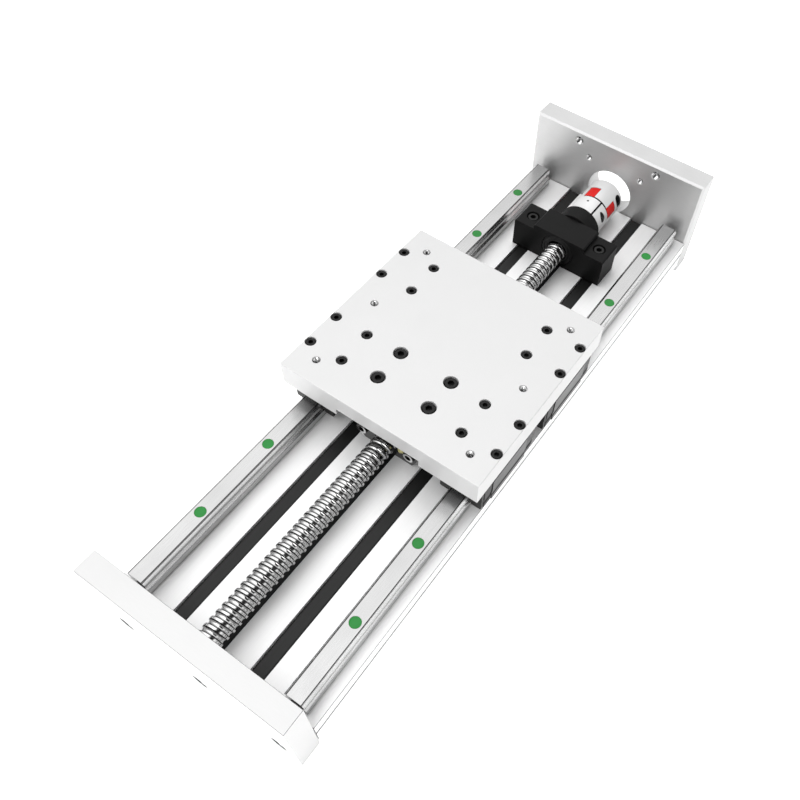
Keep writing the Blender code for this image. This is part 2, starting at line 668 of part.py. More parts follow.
def add_ball_screw():
    """The shaft's plain envelope: two journals, the threaded length and the end in the coupling."""
    profile = [(0, SHAFT_STEPS[-1][0] * MM)]
    fronts = [SHAFT_FRONT] + [end * MM for end, radius in SHAFT_STEPS[:-1]]
    for (end, radius), front in zip(reversed(SHAFT_STEPS), reversed(fronts)):
        profile += [(radius * MM, end * MM), (radius * MM, front)]
    profile.append((0, SHAFT_FRONT))
    mesh = turned_mesh("ball_screw", profile, LARGE_ROUND)
    mesh.transform(Matrix.Translation((0, 0, AXIS_Z)) @ ALONG_X)
    smooth(mesh)
    add_piece("ball_screw", mesh, "screw_steel", spindle)


def add_rings():
    """The bearings, and the seal in front of the support block."""
    rings = {"front_bearing": (FRONT_BEARING, "rail_steel"), "screw_seal": (SEAL, "black_plastic")}
    for place, sizes in SUPPORT_BEARINGS.items():
        rings[f"support_bearing_{place}"] = (sizes, "rail_steel")
    for name, (sizes, finish) in rings.items():
        mesh = ring_mesh(name, *sizes)
        smooth(mesh)
        add_piece(name, mesh, finish, frame)


def add_support_block():
    half = [
        (BLOCK_HALF_WIDTH, BASE_TOP + GAP),
        (BLOCK_HALF_WIDTH, BLOCK_SHOULDER_TOP - BLOCK_CHAMFER),
        (BLOCK_HALF_WIDTH - BLOCK_CHAMFER, BLOCK_SHOULDER_TOP),
        (BLOCK_CROWN_HALF_WIDTH, BLOCK_SHOULDER_TOP),
        (BLOCK_CROWN_HALF_WIDTH, BLOCK_CROWN_TOP - BLOCK_CHAMFER),
        (BLOCK_CROWN_HALF_WIDTH - BLOCK_CHAMFER, BLOCK_CROWN_TOP),
    ]
    front, rear = BLOCK_X
    mesh = extruded_mesh("support_block", [mirrored(half)], front, rear)
    block = add_piece("support_block", mesh, "black_oxide", frame)
    axis = [(0, AXIS_Z)]
    seat_radius, seat_depth = SEAL_SEAT
    drill_along(block, "seal_seat", axis, seat_radius, front - OVERSHOOT, front + seat_depth, LARGE_ROUND)
    drill_along(block, "block_lip", axis, BLOCK_LIP_RADIUS, front, rear, LARGE_ROUND)
    drill_along(block, "block_bore", axis, BLOCK_BORE_RADIUS, BLOCK_LIP_REAR, rear + OVERSHOOT, LARGE_ROUND)

    middle_x = (front + rear) / 2
    places = [(middle_x, -BLOCK_SCREW_Y), (middle_x, BLOCK_SCREW_Y)]
    head_radius, head_depth = BLOCK_COUNTERBORE
    seat = BLOCK_SHOULDER_TOP - head_depth
    bottom, top = BASE_TOP - OVERSHOOT, BLOCK_SHOULDER_TOP + OVERSHOOT
    drill_down(block, "block_heads", places, head_radius, seat, top)
    drill_down(block, "block_holes", places, BLOCK_HOLE_RADIUS, bottom, seat + GAP, SMALL_ROUND)
    add_screws("support_block_screw", BLOCK_SCREW, [(x, y, seat + GAP) for x, y in places], frame)


def add_bearing_cover():
    """A D-shaped cup round the lock nut, with a spigot that holds the rear bearing."""
    front, rear = COVER_X
    flat = math.degrees(math.acos((COVER_BOTTOM - AXIS_Z) / COVER_RADIUS))
    outline = arc(COVER_RADIUS, -flat, flat, 28, (0, AXIS_Z))
    mesh = extruded_mesh("bearing_cover", [outline], front, rear)
    cover = add_piece("bearing_cover", mesh, "black_oxide", frame)
    axis = [(0, AXIS_Z)]
    spigot_front, spigot_bore, spigot_radius = COVER_SPIGOT
    spigot_x = (spigot_front, front + OVERSHOOT)
    cut(cover, cylinders_mesh("cover_spigot", axis, spigot_radius, *spigot_x, ALONG_X, LARGE_ROUND), "UNION")
    drill_along(cover, "spigot_bore", axis, spigot_bore, spigot_front - OVERSHOOT, rear, LARGE_ROUND)
    cup_floor = front + COVER_FLOOR
    drill_along(cover, "cover_bore", axis, COVER_BORE_RADIUS, cup_floor, rear + OVERSHOOT, LARGE_ROUND)


def add_lock_nut():
    """A slotted nut whose collar holds the bearings' inner rings."""
    collar_front, head_front, end = LOCK_NUT_X
    bore, collar_radius, head_radius = LOCK_NUT_RADII
    profile = [
        (head_radius, end),
        (head_radius, head_front),
        (collar_radius, head_front),
        (collar_radius, collar_front),
        (bore, collar_front),
        (bore, end),
    ]
    mesh = turned_mesh("lock_nut", profile)
    mesh.transform(Matrix.Translation((0, 0, AXIS_Z)) @ ALONG_X)
    nut = add_piece("lock_nut", mesh, "black_oxide", spindle)
    width, depth = LOCK_NUT_SLOT
    low = (head_front - OVERSHOOT, -width / 2, head_radius - depth)
    high = (end + OVERSHOOT, width / 2, head_radius + OVERSHOOT)
    for number in range(LOCK_NUT_SLOTS):
        slot = box_mesh(f"lock_nut_slot_{number + 1}", low, high)
        turn = Matrix.Rotation(number * 2 * math.pi / LOCK_NUT_SLOTS, 4, "X")
        slot.transform(Matrix.Translation((0, 0, AXIS_Z)) @ turn)
        cut(nut, slot)


def jaw_outline(middle):
    """One jaw of a hub, about its middle angle."""
    half = (360 / LEG_COUNT - LEG_WIDTH) / 2 - JAW_CLEARANCE
    axis = (0, AXIS_Z)
    outer = arc(COUPLING_RADIUS, middle - half, middle + half, 8, axis)
    inner = arc(JAW_INNER_RADIUS, middle + half, middle - half, 4, axis)
    return outer + inner


def clamp_matrix(kind):
    """Turns local X to the slit's direction and local Z across the slit, towards the screw's head."""
    place_x = CLAMP_SCREW_X[kind]
    angle = math.radians(CLAMP_SLIT_ANGLES[kind])
    outward = Vector((0, math.sin(angle), math.cos(angle)))
    across = Vector((0, -math.cos(angle), math.sin(angle))) * CLAMP_HEAD_SIDES[kind]
    turn = Matrix((outward, across.cross(outward), across)).transposed().to_4x4()
    return Matrix.Translation((place_x, 0, AXIS_Z)) @ turn


def add_hub(kind, ends, bore, first_jaw):
    """A clamp hub with two jaws, a slit and a hole for its clamp screw."""
    name = f"coupling_hub_{kind}"
    mesh = ring_mesh(name, *ends, bore, COUPLING_RADIUS, LARGE_ROUND)
    hub = add_piece(name, mesh, "coupling_alloy", spindle)
    jaws_x = (ends[0] + JAW_ROOT, MOTOR_HUB_X[0] - JAW_END_GAP)
    if kind == "motor":
        jaws_x = (SCREW_HUB_X[1] + JAW_END_GAP, ends[1] - JAW_ROOT)
    for number in range(LEG_COUNT // 2):
        outline = jaw_outline(first_jaw + number * 2 * 360 / LEG_COUNT)
        cut(hub, extruded_mesh(f"{name}_jaw_{number + 1}", [outline], *jaws_x), "UNION")

    place = clamp_matrix(kind)
    half_slit = CLAMP_SLIT_WIDTH / 2
    half_length = (ends[1] - ends[0]) / 2
    outside = COUPLING_RADIUS + OVERSHOOT
    slit = box_mesh(f"{name}_slit", (0, -half_length, -half_slit), (outside, half_length, half_slit))
    slit.transform(place)
    cut(hub, slit)
    hole_radius, seat_radius = CLAMP_HOLE_RADII
    centre = [(CLAMP_SCREW_OFFSET, 0)]
    inside = -COUPLING_RADIUS
    hole = cylinders_mesh(f"{name}_hole", centre, hole_radius, inside, outside, segments=SMALL_ROUND)
    seat_floor = CLAMP_SCREW_SEAT
    seat = cylinders_mesh(f"{name}_seat", centre, seat_radius, seat_floor, outside, segments=MEDIUM_ROUND)
    for cutter in (hole, seat):
        cutter.transform(place)
        cut(hub, cutter)
    head = Matrix.Translation((CLAMP_SCREW_OFFSET, 0, CLAMP_SCREW_SEAT + GAP))
    add_screws(f"clamp_screw_{kind}", CLAMP_SCREW, [(0, 0, 0)], spindle, place @ head)


def add_spider():
    """The soft star between the jaws, one leg in each gap."""
    pitch = 360 / LEG_COUNT
    outline = []
    for number in range(LEG_COUNT):
        middle = LEG_ANGLE + number * pitch
        start, end = middle - LEG_WIDTH / 2, middle + LEG_WIDTH / 2
        outline += arc(COUPLING_RADIUS, start, end, 4, (0, AXIS_Z))
        outline += arc(SPIDER_CORE_RADIUS, end, start + pitch, 4, (0, AXIS_Z))
    mesh = extruded_mesh("coupling_spider", [outline], SCREW_HUB_X[1] + GAP, MOTOR_HUB_X[0] - GAP)
    add_piece("coupling_spider", mesh, "spider_red", spindle)


def add_coupling():
    half_pitch = 180 / LEG_COUNT
    add_hub("screw", SCREW_HUB_X, SCREW_HUB_BORE, LEG_ANGLE + half_pitch)
    add_hub("motor", MOTOR_HUB_X, MOTOR_HUB_BORE, LEG_ANGLE - half_pitch)
    add_spider()


clear_scene()
stage = new_collection("ball_screw_linear_stage")
cutters = new_collection("cutters")
frame = add_carrier("frame_origin", (0, 0, 0))
table = add_carrier("table_slide_origin", (0, 0, AXIS_Z))
spindle = add_carrier("screw_spin_axis", (0, 0, AXIS_Z))
add_base()
add_slot_strips()
add_front_plate()
add_motor_plate()
add_rails()
add_table()
add_carriages()
add_table_screws()
add_nut_housing()
add_ball_nut()
add_ball_screw()
add_rings()
add_support_block()
add_bearing_cover()
add_lock_nut()
add_coupling()
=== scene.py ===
"""The looks of the ball screw linear stage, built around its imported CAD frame.

X runs along the screw, from the front plate to the motor plate, Y to the left and Z up.
"""

from math import acos, atan2, cos, degrees, hypot, pi, radians, sin, sqrt

import bmesh
import bpy
from mathutils import Euler, Matrix, Vector


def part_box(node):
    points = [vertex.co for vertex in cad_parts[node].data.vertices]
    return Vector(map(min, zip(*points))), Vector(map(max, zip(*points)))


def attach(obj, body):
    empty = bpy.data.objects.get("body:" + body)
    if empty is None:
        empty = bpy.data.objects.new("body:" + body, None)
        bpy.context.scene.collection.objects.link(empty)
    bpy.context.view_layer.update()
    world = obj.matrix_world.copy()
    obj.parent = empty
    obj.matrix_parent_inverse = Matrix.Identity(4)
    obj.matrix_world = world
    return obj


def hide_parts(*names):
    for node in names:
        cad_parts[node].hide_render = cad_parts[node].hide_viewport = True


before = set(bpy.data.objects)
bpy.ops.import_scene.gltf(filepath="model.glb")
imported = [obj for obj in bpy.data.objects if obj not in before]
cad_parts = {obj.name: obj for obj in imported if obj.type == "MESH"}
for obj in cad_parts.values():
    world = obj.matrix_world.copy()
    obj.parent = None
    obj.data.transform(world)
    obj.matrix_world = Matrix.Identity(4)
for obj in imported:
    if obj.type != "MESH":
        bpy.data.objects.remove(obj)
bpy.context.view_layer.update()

MM = 0.001


def mm(*sizes):
    """Sizes in millimetres, turned to metres."""
    return tuple(size * MM for size in sizes)


FINE_ROUND = 40  # sides of a screw or a small hole
ROUND = 64  # sides of a large round
BORE_ROUND = 96
HUB_ROUND = 128
MARGIN = 2 * MM  # how far a cutter goes past the surface
EDGE = 0.25 * MM  # the usual broken edge

# Camera, as the photograph's view
CAMERA_PLACE = (-0.28073, -0.18613, 0.49961)
CAMERA_TURN = (33.684, -3.292, -56.066)  # XYZ Euler angles in degrees
CAMERA_LENS = 36.42
CAMERA_SHIFT = (-0.1040, 0.0168)

# Studio light
DOME_LEVELS = (0.25, 2.05)  # at the horizon and overhead
DOME_RISE = 0.8  # the height on a unit dome where it is as bright as overhead
FLAGS = [  # direction, and the cosines of the angles from its middle where it starts and is full
    ((-0.44, -0.38, 0.81), (0.74, 0.90)),
    ((0.33, -0.50, 0.80), (0.89, 0.97)),
]
FLAG_LEVEL = 0.03
FLOOR_GREY = 0.93
FLOOR_GLOW = 0.55
KEY_LIGHT = ((-1.2, 0.5, 3.1), (0, 0, 0), 2.4, 32)  # place, target, width and watts
FILL_LIGHT = ((-2.2, -1.0, 0.8), (0, 0, 0), 1.6, 32)

# Places read from the CAD frame
AXIS_Z = sum(corner[2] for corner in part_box("ball_screw")) / 2
AXIS = Vector((0, 0, AXIS_Z))
ALONG_X = Matrix(((0, 0, 1), (1, 0, 0), (0, 1, 0))).to_4x4()  # local Z to world X, X to Y, Y to Z
ON_AXIS = Matrix.Translation(AXIS) @ ALONG_X

# Socket head screws: head radius and height, shank radius and length, key width and depth
SCREWS = {
    "table": mm(3.4, 4, 2, 20, 3, 2.2),
    "housing": mm(4.25, 5, 2.5, 15.5, 4, 2.6),
    "plate": mm(4.9, 6, 3, 22, 5, 3),
    "flange": mm(4.25, 3.1, 2.2, 19, 4, 2),
    "rail": mm(3.4, 3.6, 1.9, 11.5, 3, 2),
    "block": mm(4.25, 5, 2.5, 25.5, 4, 2.6),
    "clamp": mm(2.75, 3.6, 1.5, 9, 2.5, 1.8),
}
KNURLS = 32
FEW_KNURLS = 20

# Table and nut
TABLE_COUNTERBORES = {"table_screw": mm(3.75, 5, 2.3), "nut_housing_screw": mm(5, 6, 2.8)}
CHANNEL = mm(32.5, 6)  # half width and depth
TAPPED_PITCH = 60 * MM
TAPPED_Y = 60 * MM
TAPPED_HOLE = mm(2.5, 14)  # radius and depth
THREAD_DEPTH = 0.38 * MM
THREAD_PITCH = 0.9 * MM
HOUSING_BORE = 13.3 * MM
HOUSING_THREAD = mm(2.8, 9)
FLANGE_RADIUS = 24 * MM
FLANGE_THICKNESS = 10 * MM
FLANGE_SCREW_Y = 19 * MM
FLANGE_HOLE = 2.5 * MM
FLANGE_THREAD = 12 * MM
NUT_RADIUS = 13 * MM
NUT_BORE = 8.3 * MM
WIPER_SEAT = mm(10.8, 1.2)  # radius and depth
PLUG_PLACE = mm(-13.2, 3.4)  # from the screw's axis, along Y and Z

# Plates and base; a counterbore is a head radius, a depth and a shank hole radius
PLATE_SCREW_Y = mm(-60, 0, 60)
PLATE_SCREW_Z = 14.5 * MM
PLATE_COUNTERBORE = mm(5.5, 7, 3.3)
FRONT_SEAT = mm(11.3, 8)
MOTOR_BORE_RADIUS = 19.5 * MM
MOTOR_CHAMFER = 1.5 * MM
MOTOR_HOLES = {69.6 * MM: 3.5 * MM, 47.14 * MM: 2.6 * MM}  # side of the square to radius
SLOT_CENTRES = mm(60, 30, 0, -30, -60)
SIDE_GROOVE = mm(2.6, 3.6, 21.2)  # mouth, depth and height

# Rails and carriages; outlines are half sections, in mm across from the middle and up from the rail's foot
RAIL_HEIGHT = 15 * MM
RAIL_HALF = [
    (7.1, 0.3), (7.5, 0.7), (7.5, 5.6), (7.2, 6.1), (5.95, 7.5), (5.8, 7.9), (5.8, 9.1), (5.95, 9.5),
    (7.0, 10.5), (7.2, 10.9), (7.2, 12.4), (7.05, 12.8), (5.9, 14.05), (5.7, 14.5), (5.7, 14.8), (5.5, 15.0),
]
RAIL_HOLES_X = [2.8 + 60 * step for step in range(-3, 4)]
RAIL_COUNTERBORE = mm(3.75, 5.3, 2.25)
CAP_PROFILE = [  # radius and height from the rail's top, in mm
    (0, -0.06), (2.6, -0.06), (2.75, -0.12), (2.9, -0.06), (3.55, -0.04), (3.7, -0.2), (3.7, -1.2), (0, -1.2),
]
CARRIAGE_CHANNEL = [
    (8.1, 0.0), (8.1, 6.4), (6.5, 8.0), (6.5, 9.0), (7.8, 10.4), (7.8, 12.9), (6.3, 14.5), (6.3, 15.7),
]
SEAL_THICKNESS = 2.2 * MM

# Ball screw thread
SCREW_RADIUS = 8 * MM
SCREW_LEAD = 5 * MM
THREAD_END = 147.5 * MM
JOURNAL_RADIUS = 5 * MM
GROOVE_RADIUS = 1.6 * MM
GROOVE_DEPTH = 1.2 * MM
LAND_EDGE = 0.3 * MM
THREAD_SIDES = 72
THREAD_STEPS = 30  # points along one lead

# Support block and its bearing cover
BLOCK_SHOULDER = 57.5 * MM
BLOCK_CROWN = 22.5 * MM  # half the width of its raised middle
BLOCK_CHAMFER = 1 * MM
BLOCK_COUNTERBORE = mm(5, 6, 2.8)
BLOCK_BORES = mm(13.5, 9, 12.3)  # seal seat, clearance and bearing seat
BEARING_SEAT_X = 149 * MM
COVER_RADIUS = 17 * MM
COVER_FRONT = 169.3 * MM
LOCK_NUT_HEAD_X = 175 * MM

# Coupling, as in the CAD source
HUB_RADIUS = 15 * MM
SPIDER_CORE_RADIUS = 6.8 * MM
LEG_ANGLE = 20
LEG_WIDTH = 36
LEG_COUNT = 4
JAW_INNER_RADIUS = 7.6 * MM
JAW_CLEARANCE = 0.9  # degrees
JAW_END_GAP = 0.9 * MM
HUB_BORES = {"screw": 5.3 * MM, "motor": 7.0 * MM}
SLIT_ANGLES = {"screw": -28, "motor": -105}
HEAD_SIDES = {"screw": 1, "motor": -1}  # which side of the slit the clamp screw's head is on
SLIT_WIDTH = 1.5 * MM
CLAMP_OFFSET = 11.5 * MM
CLAMP_SEAT = 4 * MM
CLAMP_END = -6.5 * MM
CLAMP_RADII = {"screw": mm(1.8, 2.9), "motor": mm(1.8, 3.6)}
SEAM = 0.8 * MM  # how much wider than the jaws' end gap the ring beside the screw hub is, which painted shade makes dark
# a dark dot of painted shade stands for a small hole in the screw's hub
DOT_PLACE = (194.5 * MM, 9)  # along X, and angle in degrees
DOT_RADIUS = 0.9 * MM

# Painted shade and highlights by place, in mm: height above the rail's foot, distance from its middle, and
# radii
# rails: painted shade on their steep faces and under the top edge, painted highlight bands on the slopes
RAIL_SHADE_AND_HIGHLIGHT = [
    (0, 0.1), (0.8, 0.2), (1.5, 1.2), (5.4, 1.3), (5.8, 0.8), (6.4, 1.9), (7.6, 1.8), (8.5, 1.0), (10.9, 0.7),
    (12.4, 0.8), (12.9, 1.9), (14.0, 2.4), (14.2, 0.7), (14.6, 0.7), (14.9, 1),
]
# painted shade in thin lines along both top edges of the rails
RAIL_EDGE_SHADE = [(0, 1), (4.9, 1), (5.05, 0.1), (5.5, 0.1), (5.65, 1)]
# painted shade in dark lines along the edges of the screw's grooves
GROOVE_SHADE = [(6.8, 1.0), (7.3, 0.9), (7.48, 0.03), (7.93, 0.03), (7.98, 1.0)]
# painted shade in the flange screws' sockets and around their heads
SOCKET_SHADE = [(0, 0.02), (2.2, 0.02), (2.45, 1), (3.7, 1), (3.9, 0.1)]
# painted shade on the coupling inside its outer skin: slits, clamp holes, end faces, jaw sides and the
# spider's core
HUB_GAP_SHADE = [(0, 0.02), (14.4, 0.02), (14.75, 1.0), (15, 1.0)]
STRIP_EDGE_SHADE = [(-1, 0.03), (-0.3, 0.03), (-0.2, 1)]  # painted shade on the strips' edge shelves, by height from the strip's top
# painted shade of the small hole that the hub's dark dot stands for
DIMPLE_SHADE = 0.02


# ---- materials

def node(tree, kind, **inputs):
    """A new shader node with some of its inputs set."""
    made = tree.nodes.new(kind)
    for name, value in inputs.items():
        made.inputs[name.replace("_", " ")].default_value = value
    return made


def calculate(tree, operation, *inputs, kind="ShaderNodeMath"):
    """The output of a new math node whose inputs are numbers, vectors or other nodes' outputs."""
    made = tree.nodes.new(kind)
    made.operation = operation
    for socket, value in zip(made.inputs, inputs):
        if isinstance(value, bpy.types.NodeSocket):
            tree.links.new(value, socket)
        else:
            socket.default_value = value
    return made.outputs["Value" if operation in ("LENGTH", "DISTANCE", "DOT_PRODUCT") else 0]


def calculate_vector(tree, operation, *inputs):
    return calculate(tree, operation, *inputs, kind="ShaderNodeVectorMath")


def position(tree):
    """Where a point is, in the object's own metres."""
    return tree.nodes.new("ShaderNodeTexCoord").outputs["Object"]


def coordinates(tree, vector):
    split = tree.nodes.new("ShaderNodeSeparateXYZ")
    tree.links.new(vector, split.inputs["Vector"])
    return split.outputs


def stretched_noise(tree, scale, detail=3.0):
    """Noise in the object's own metres, with a separate frequency on each axis."""
    mapping = node(tree, "ShaderNodeMapping", Scale=scale)
    noise = node(tree, "ShaderNodeTexNoise", Scale=1.0, Detail=detail, Roughness=0.5)
    tree.links.new(position(tree), mapping.inputs["Vector"])
    tree.links.new(mapping.outputs["Vector"], noise.inputs["Vector"])
    return noise.outputs["Fac"]


def map_range(tree, value, before, after=(0.0, 1.0)):
    """A value moved from one range to another."""
    mapped = node(tree, "ShaderNodeMapRange", From_Min=before[0], From_Max=before[1],
                  To_Min=after[0], To_Max=after[1])
    tree.links.new(value, mapped.inputs["Value"])
    return mapped


def triple(value):
    """Three numbers as they are, or one number three times."""
    return value if isinstance(value, tuple) else (value, value, value)


def surface(name, dark, light, metallic, rough, grain, relief, specular=0.5, tones=()):
    """A finish whose grain sets its colour, roughness and relief, with slow patches over it.

    Each of the tones is a function that paints shade or highlight onto the colour by place, for example by
    its height.
    """
    material = bpy.data.materials.new(name)
    material.use_nodes = True
    tree = material.node_tree
    links = tree.links
    shader = tree.nodes["Principled BSDF"]
    shader.inputs["Metallic"].default_value = metallic
    shader.inputs["Specular IOR Level"].default_value = specular
    fine = stretched_noise(tree, triple(grain))
    slow = stretched_noise(tree, triple(25), 2.0)
    spread = map_range(tree, slow, (0.3, 0.7), (0.0, 0.45))
    blend = calculate(tree, "MULTIPLY_ADD", fine, 0.55, spread.outputs["Result"])

    colours = tree.nodes.new("ShaderNodeValToRGB")
    for point, place, shade in zip(colours.color_ramp.elements, (0.2, 0.8), (dark, light)):
        point.position = place
        point.color = (*triple(shade), 1)
    links.new(blend, colours.inputs["Fac"])
    colour = colours.outputs["Color"]
    for tone in tones:
        colour = calculate_vector(tree, "MULTIPLY", colour, tone(tree))
    links.new(colour, shader.inputs["Base Color"])

    roughness = map_range(tree, blend, (0.2, 0.8), rough)
    links.new(roughness.outputs["Result"], shader.inputs["Roughness"])

    bump = node(tree, "ShaderNodeBump", Strength=relief[0], Distance=relief[1])
    links.new(fine, bump.inputs["Height"])
    links.new(bump.outputs["Normal"], shader.inputs["Normal"])
    return material


def steps(tree, value, low, high, levels):
    """Brightness along a value that runs from low to high, from (place along it, brightness) pairs."""
    along = map_range(tree, value, (low, high))
    ramp = tree.nodes.new("ShaderNodeValToRGB")
    points = ramp.color_ramp.elements
    points.remove(points[1])
    for index, (place, level) in enumerate(levels):
        if index:
            points.new((place - low) / (high - low))
        points[index].position = (place - low) / (high - low)
        points[index].color = (level, level, level, 1)
    tree.links.new(along.outputs["Result"], ramp.inputs["Fac"])
    return ramp.outputs["Color"]


def levels_from(start, tones):
    """A table of tones in mm as places in metres, from a start."""
    return [(start + place * MM, level) for place, level in tones]


def by_radius(low, high, levels, aside=0.0):
    """Brightness by the distance from the screw's axis, or from two lines beside it."""
    def tone(tree):
        folded = calculate_vector(tree, "ABSOLUTE", position(tree))
        across = calculate_vector(tree, "MULTIPLY_ADD", folded, (0, 1, 1), (0, -aside, -AXIS_Z))
        return steps(tree, calculate_vector(tree, "LENGTH", across), low, high, levels)
    return tone


def by_height(low, high, levels):
    """Brightness by the height above the floor."""
    def tone(tree):
        return steps(tree, coordinates(tree, position(tree))["Z"], low, high, levels)
    return tone


def by_reach(middle, reach, levels):
    """Brightness by the distance along Y from either of two lines, at plus and minus the middle."""
    def tone(tree):
        value = coordinates(tree, position(tree))["Y"]
        for offset in (0, middle):
            value = calculate(tree, "ABSOLUTE", calculate(tree, "SUBTRACT", value, offset))
        return steps(tree, value, 0.0, reach, levels)
    return tone


def shaded_chamfers(level):
    """Painted shade on the narrow chamfers, whose faces look along none of the three axes."""
    def tone(tree):
        normal = tree.nodes.new("ShaderNodeNewGeometry").outputs["True Normal"]
        parts = coordinates(tree, calculate_vector(tree, "ABSOLUTE", normal))
        largest = parts["X"]
        for axis in ("Y", "Z"):
            largest = calculate(tree, "MAXIMUM", largest, parts[axis])
        return steps(tree, largest, 0.0, 1.0, [(0, level), (0.95, level), (0.985, 1)])
    return tone


def near_point(point, radius, level):
    """Darkness within a distance of one point."""
    def tone(tree):
        distance = calculate_vector(tree, "DISTANCE", position(tree), point)
        return steps(tree, distance, 0.0, 2 * radius, [(0, level), (radius, level), (1.15 * radius, 1)])
    return tone


def make_materials():
    """Every finish of the object, by name."""
    rail_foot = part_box("rail_left")[1][2] - RAIL_HEIGHT
    # painted shade and highlight bands along the rails' height
    rail_shade_and_highlight = by_height(rail_foot, rail_foot + RAIL_HEIGHT, levels_from(rail_foot, RAIL_SHADE_AND_HIGHLIGHT))
    # painted shade along the rails' top edges
    rail_edge_shade = by_reach(middle_of("rail_left").y, 8 * MM, levels_from(0, RAIL_EDGE_SHADE))
    strip_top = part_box(nodes_named("slot_strip_")[0])[1][2]
    # painted shade on the strips' edge shelves
    strip_edge_shade = by_height(strip_top - MM, strip_top, levels_from(strip_top, STRIP_EDGE_SHADE))
    # painted shade along the edges of the screw's grooves
    groove_shade = by_radius(SCREW_RADIUS - GROOVE_DEPTH, SCREW_RADIUS, levels_from(0, GROOVE_SHADE))
    # painted shade in and around the flange screws' sockets
    socket_shade = by_radius(0, 5 * MM, levels_from(0, SOCKET_SHADE), abs(middle_of("nut_flange_screw_1").y))
    # painted shade on the coupling's slits, holes, gaps and end faces
    hub_gap_shade = by_radius(0, HUB_RADIUS, levels_from(0, HUB_GAP_SHADE))
    along, angle = DOT_PLACE
    outward = Vector((0, sin(radians(angle)), cos(radians(angle))))
    # painted shade of a small hole, as a dark dot on the screw's hub
    dimple_shade = near_point(Vector((along, 0, AXIS_Z)) + outward * HUB_RADIUS, DOT_RADIUS, DIMPLE_SHADE)
    return {
        "table": surface("table_anodised", 0.55, 0.59, 0.35, (0.40, 0.52), 1600, (0.06, 2e-5)),
        # the base and the front plate have painted shade on their chamfers
        "base": surface("base_anodised", 0.84, 0.92, 0.15, (0.42, 0.52), (60, 2600, 2600), (0.06, 2e-5),
            tones=[shaded_chamfers(0.12)]),
        "plate": surface("plate_brushed", 0.47, 0.55, 0.82, (0.40, 0.50), (2200, 120, 2200), (0.08, 2e-5)),
        "front": surface("front_plate_anodised", 0.57, 0.61, 0.15, (0.40, 0.50), (2200, 120, 2200),
            (0.08, 2e-5), tones=[shaded_chamfers(0.02)]),
        "rail": surface("rail_ground", 0.36, 0.43, 1.0, (0.22, 0.30), (70, 4500, 4500), (0.05, 2e-5),
            tones=[rail_shade_and_highlight, rail_edge_shade]),
        "screw": surface("screw_polished", 0.48, 0.60, 1.0, (0.06, 0.12), (2500, 300, 300), (0.03, 1e-5)),
        "thread": surface("screw_thread_polished", 0.50, 0.62, 1.0, (0.05, 0.11), (2500, 300, 300),
            (0.03, 1e-5), tones=[groove_shade]),
        "carriage": surface("carriage_ground", 0.02, 0.035, 0.7, (0.30, 0.42), (60, 2200, 2200), (0.1, 2e-5)),
        "cap": surface("end_cap_moulded", 0.003, 0.008, 0.0, (0.35, 0.5), 2200, (0.2, 3e-5), 0.22),
        "strip": surface("slot_strip_satin", 0.005, 0.012, 0.0, (0.42, 0.52), (80, 2600, 2600), (0.2, 2e-5),
            0.26, [strip_edge_shade]),
        "oxide": surface("black_oxide", 0.004, 0.008, 0.0, (0.40, 0.50), 1200, (0.12, 3e-5), 0.09),
        "cover": surface("cover_black", 0.020, 0.040, 0.3, (0.28, 0.38), 1500, (0.10, 3e-5), 0.4),
        "bolt": surface("black_bolt", 0.003, 0.009, 0.3, (0.30, 0.42), 2200, (0.15, 3e-5), 0.28),
        "zinc": surface("zinc_bolt", 0.55, 0.72, 1.0, (0.12, 0.22), 1500, (0.1, 2e-5)),
        "flange_screw": surface("flange_screw_zinc", 0.55, 0.72, 1.0, (0.2, 0.3), 1500, (0.05, 2e-5),
            tones=[socket_shade]),
        "alloy": surface("coupling_turned", 0.68, 0.74, 0.2, (0.34, 0.44), (4000, 90, 90), (0.05, 1e-5),
            tones=[hub_gap_shade, dimple_shade]),
        "spider": surface("spider_moulded", (0.56, 0.006, 0.004), (0.66, 0.012, 0.008), 0.0, (0.3, 0.42),
            1500, (0.08, 2e-5), 0.2, [hub_gap_shade]),
        "green": surface("rail_cap_moulded", (0.008, 0.17, 0.022), (0.014, 0.24, 0.036), 0.0, (0.32, 0.45),
            1800, (0.1, 2e-5), 0.3),
        "brass": surface("brass_turned", (0.34, 0.31, 0.13), (0.46, 0.42, 0.20), 0.3, (0.2, 0.32),
            1500, (0.08, 2e-5)),
        "nut": surface("nut_ground", 0.012, 0.025, 0.4, (0.16, 0.26), (1500, 200, 200), (0.08, 2e-5)),
    }


# ---- shapes

def lathe(profile, matrix=Matrix(), sides=FINE_ROUND, closed=False, builder=None):
    """A profile of (radius, height) points turned about local Z. Points on the axis close it."""
    builder = bmesh.new() if builder is None else builder
    rings = []
    for radius, height in profile:
        count = sides if radius > 0 else 1
        ring = []
        for index in range(count):
            angle = 2 * pi * index / sides
            place = Vector((radius * cos(angle), radius * sin(angle), height))
            ring.append(builder.verts.new(matrix @ place))
        rings.append(ring)
    pairs = list(zip(rings, rings[1:]))
    if closed:
        pairs.append((rings[-1], rings[0]))
    for upper, lower in pairs:
        for index in range(sides):
            following = (index + 1) % sides
            corners = [upper[index % len(upper)], upper[following % len(upper)],
                       lower[following % len(lower)], lower[index % len(lower)]]
            face = list(dict.fromkeys(corners))
            if len(face) > 2:
                builder.faces.new(face)
    bmesh.ops.recalc_face_normals(builder, faces=builder.faces)
    return builder


def rod(radius, start, end):
    """The profile of a plain cylinder."""
    return [(0, start), (radius, start), (radius, end), (0, end)]


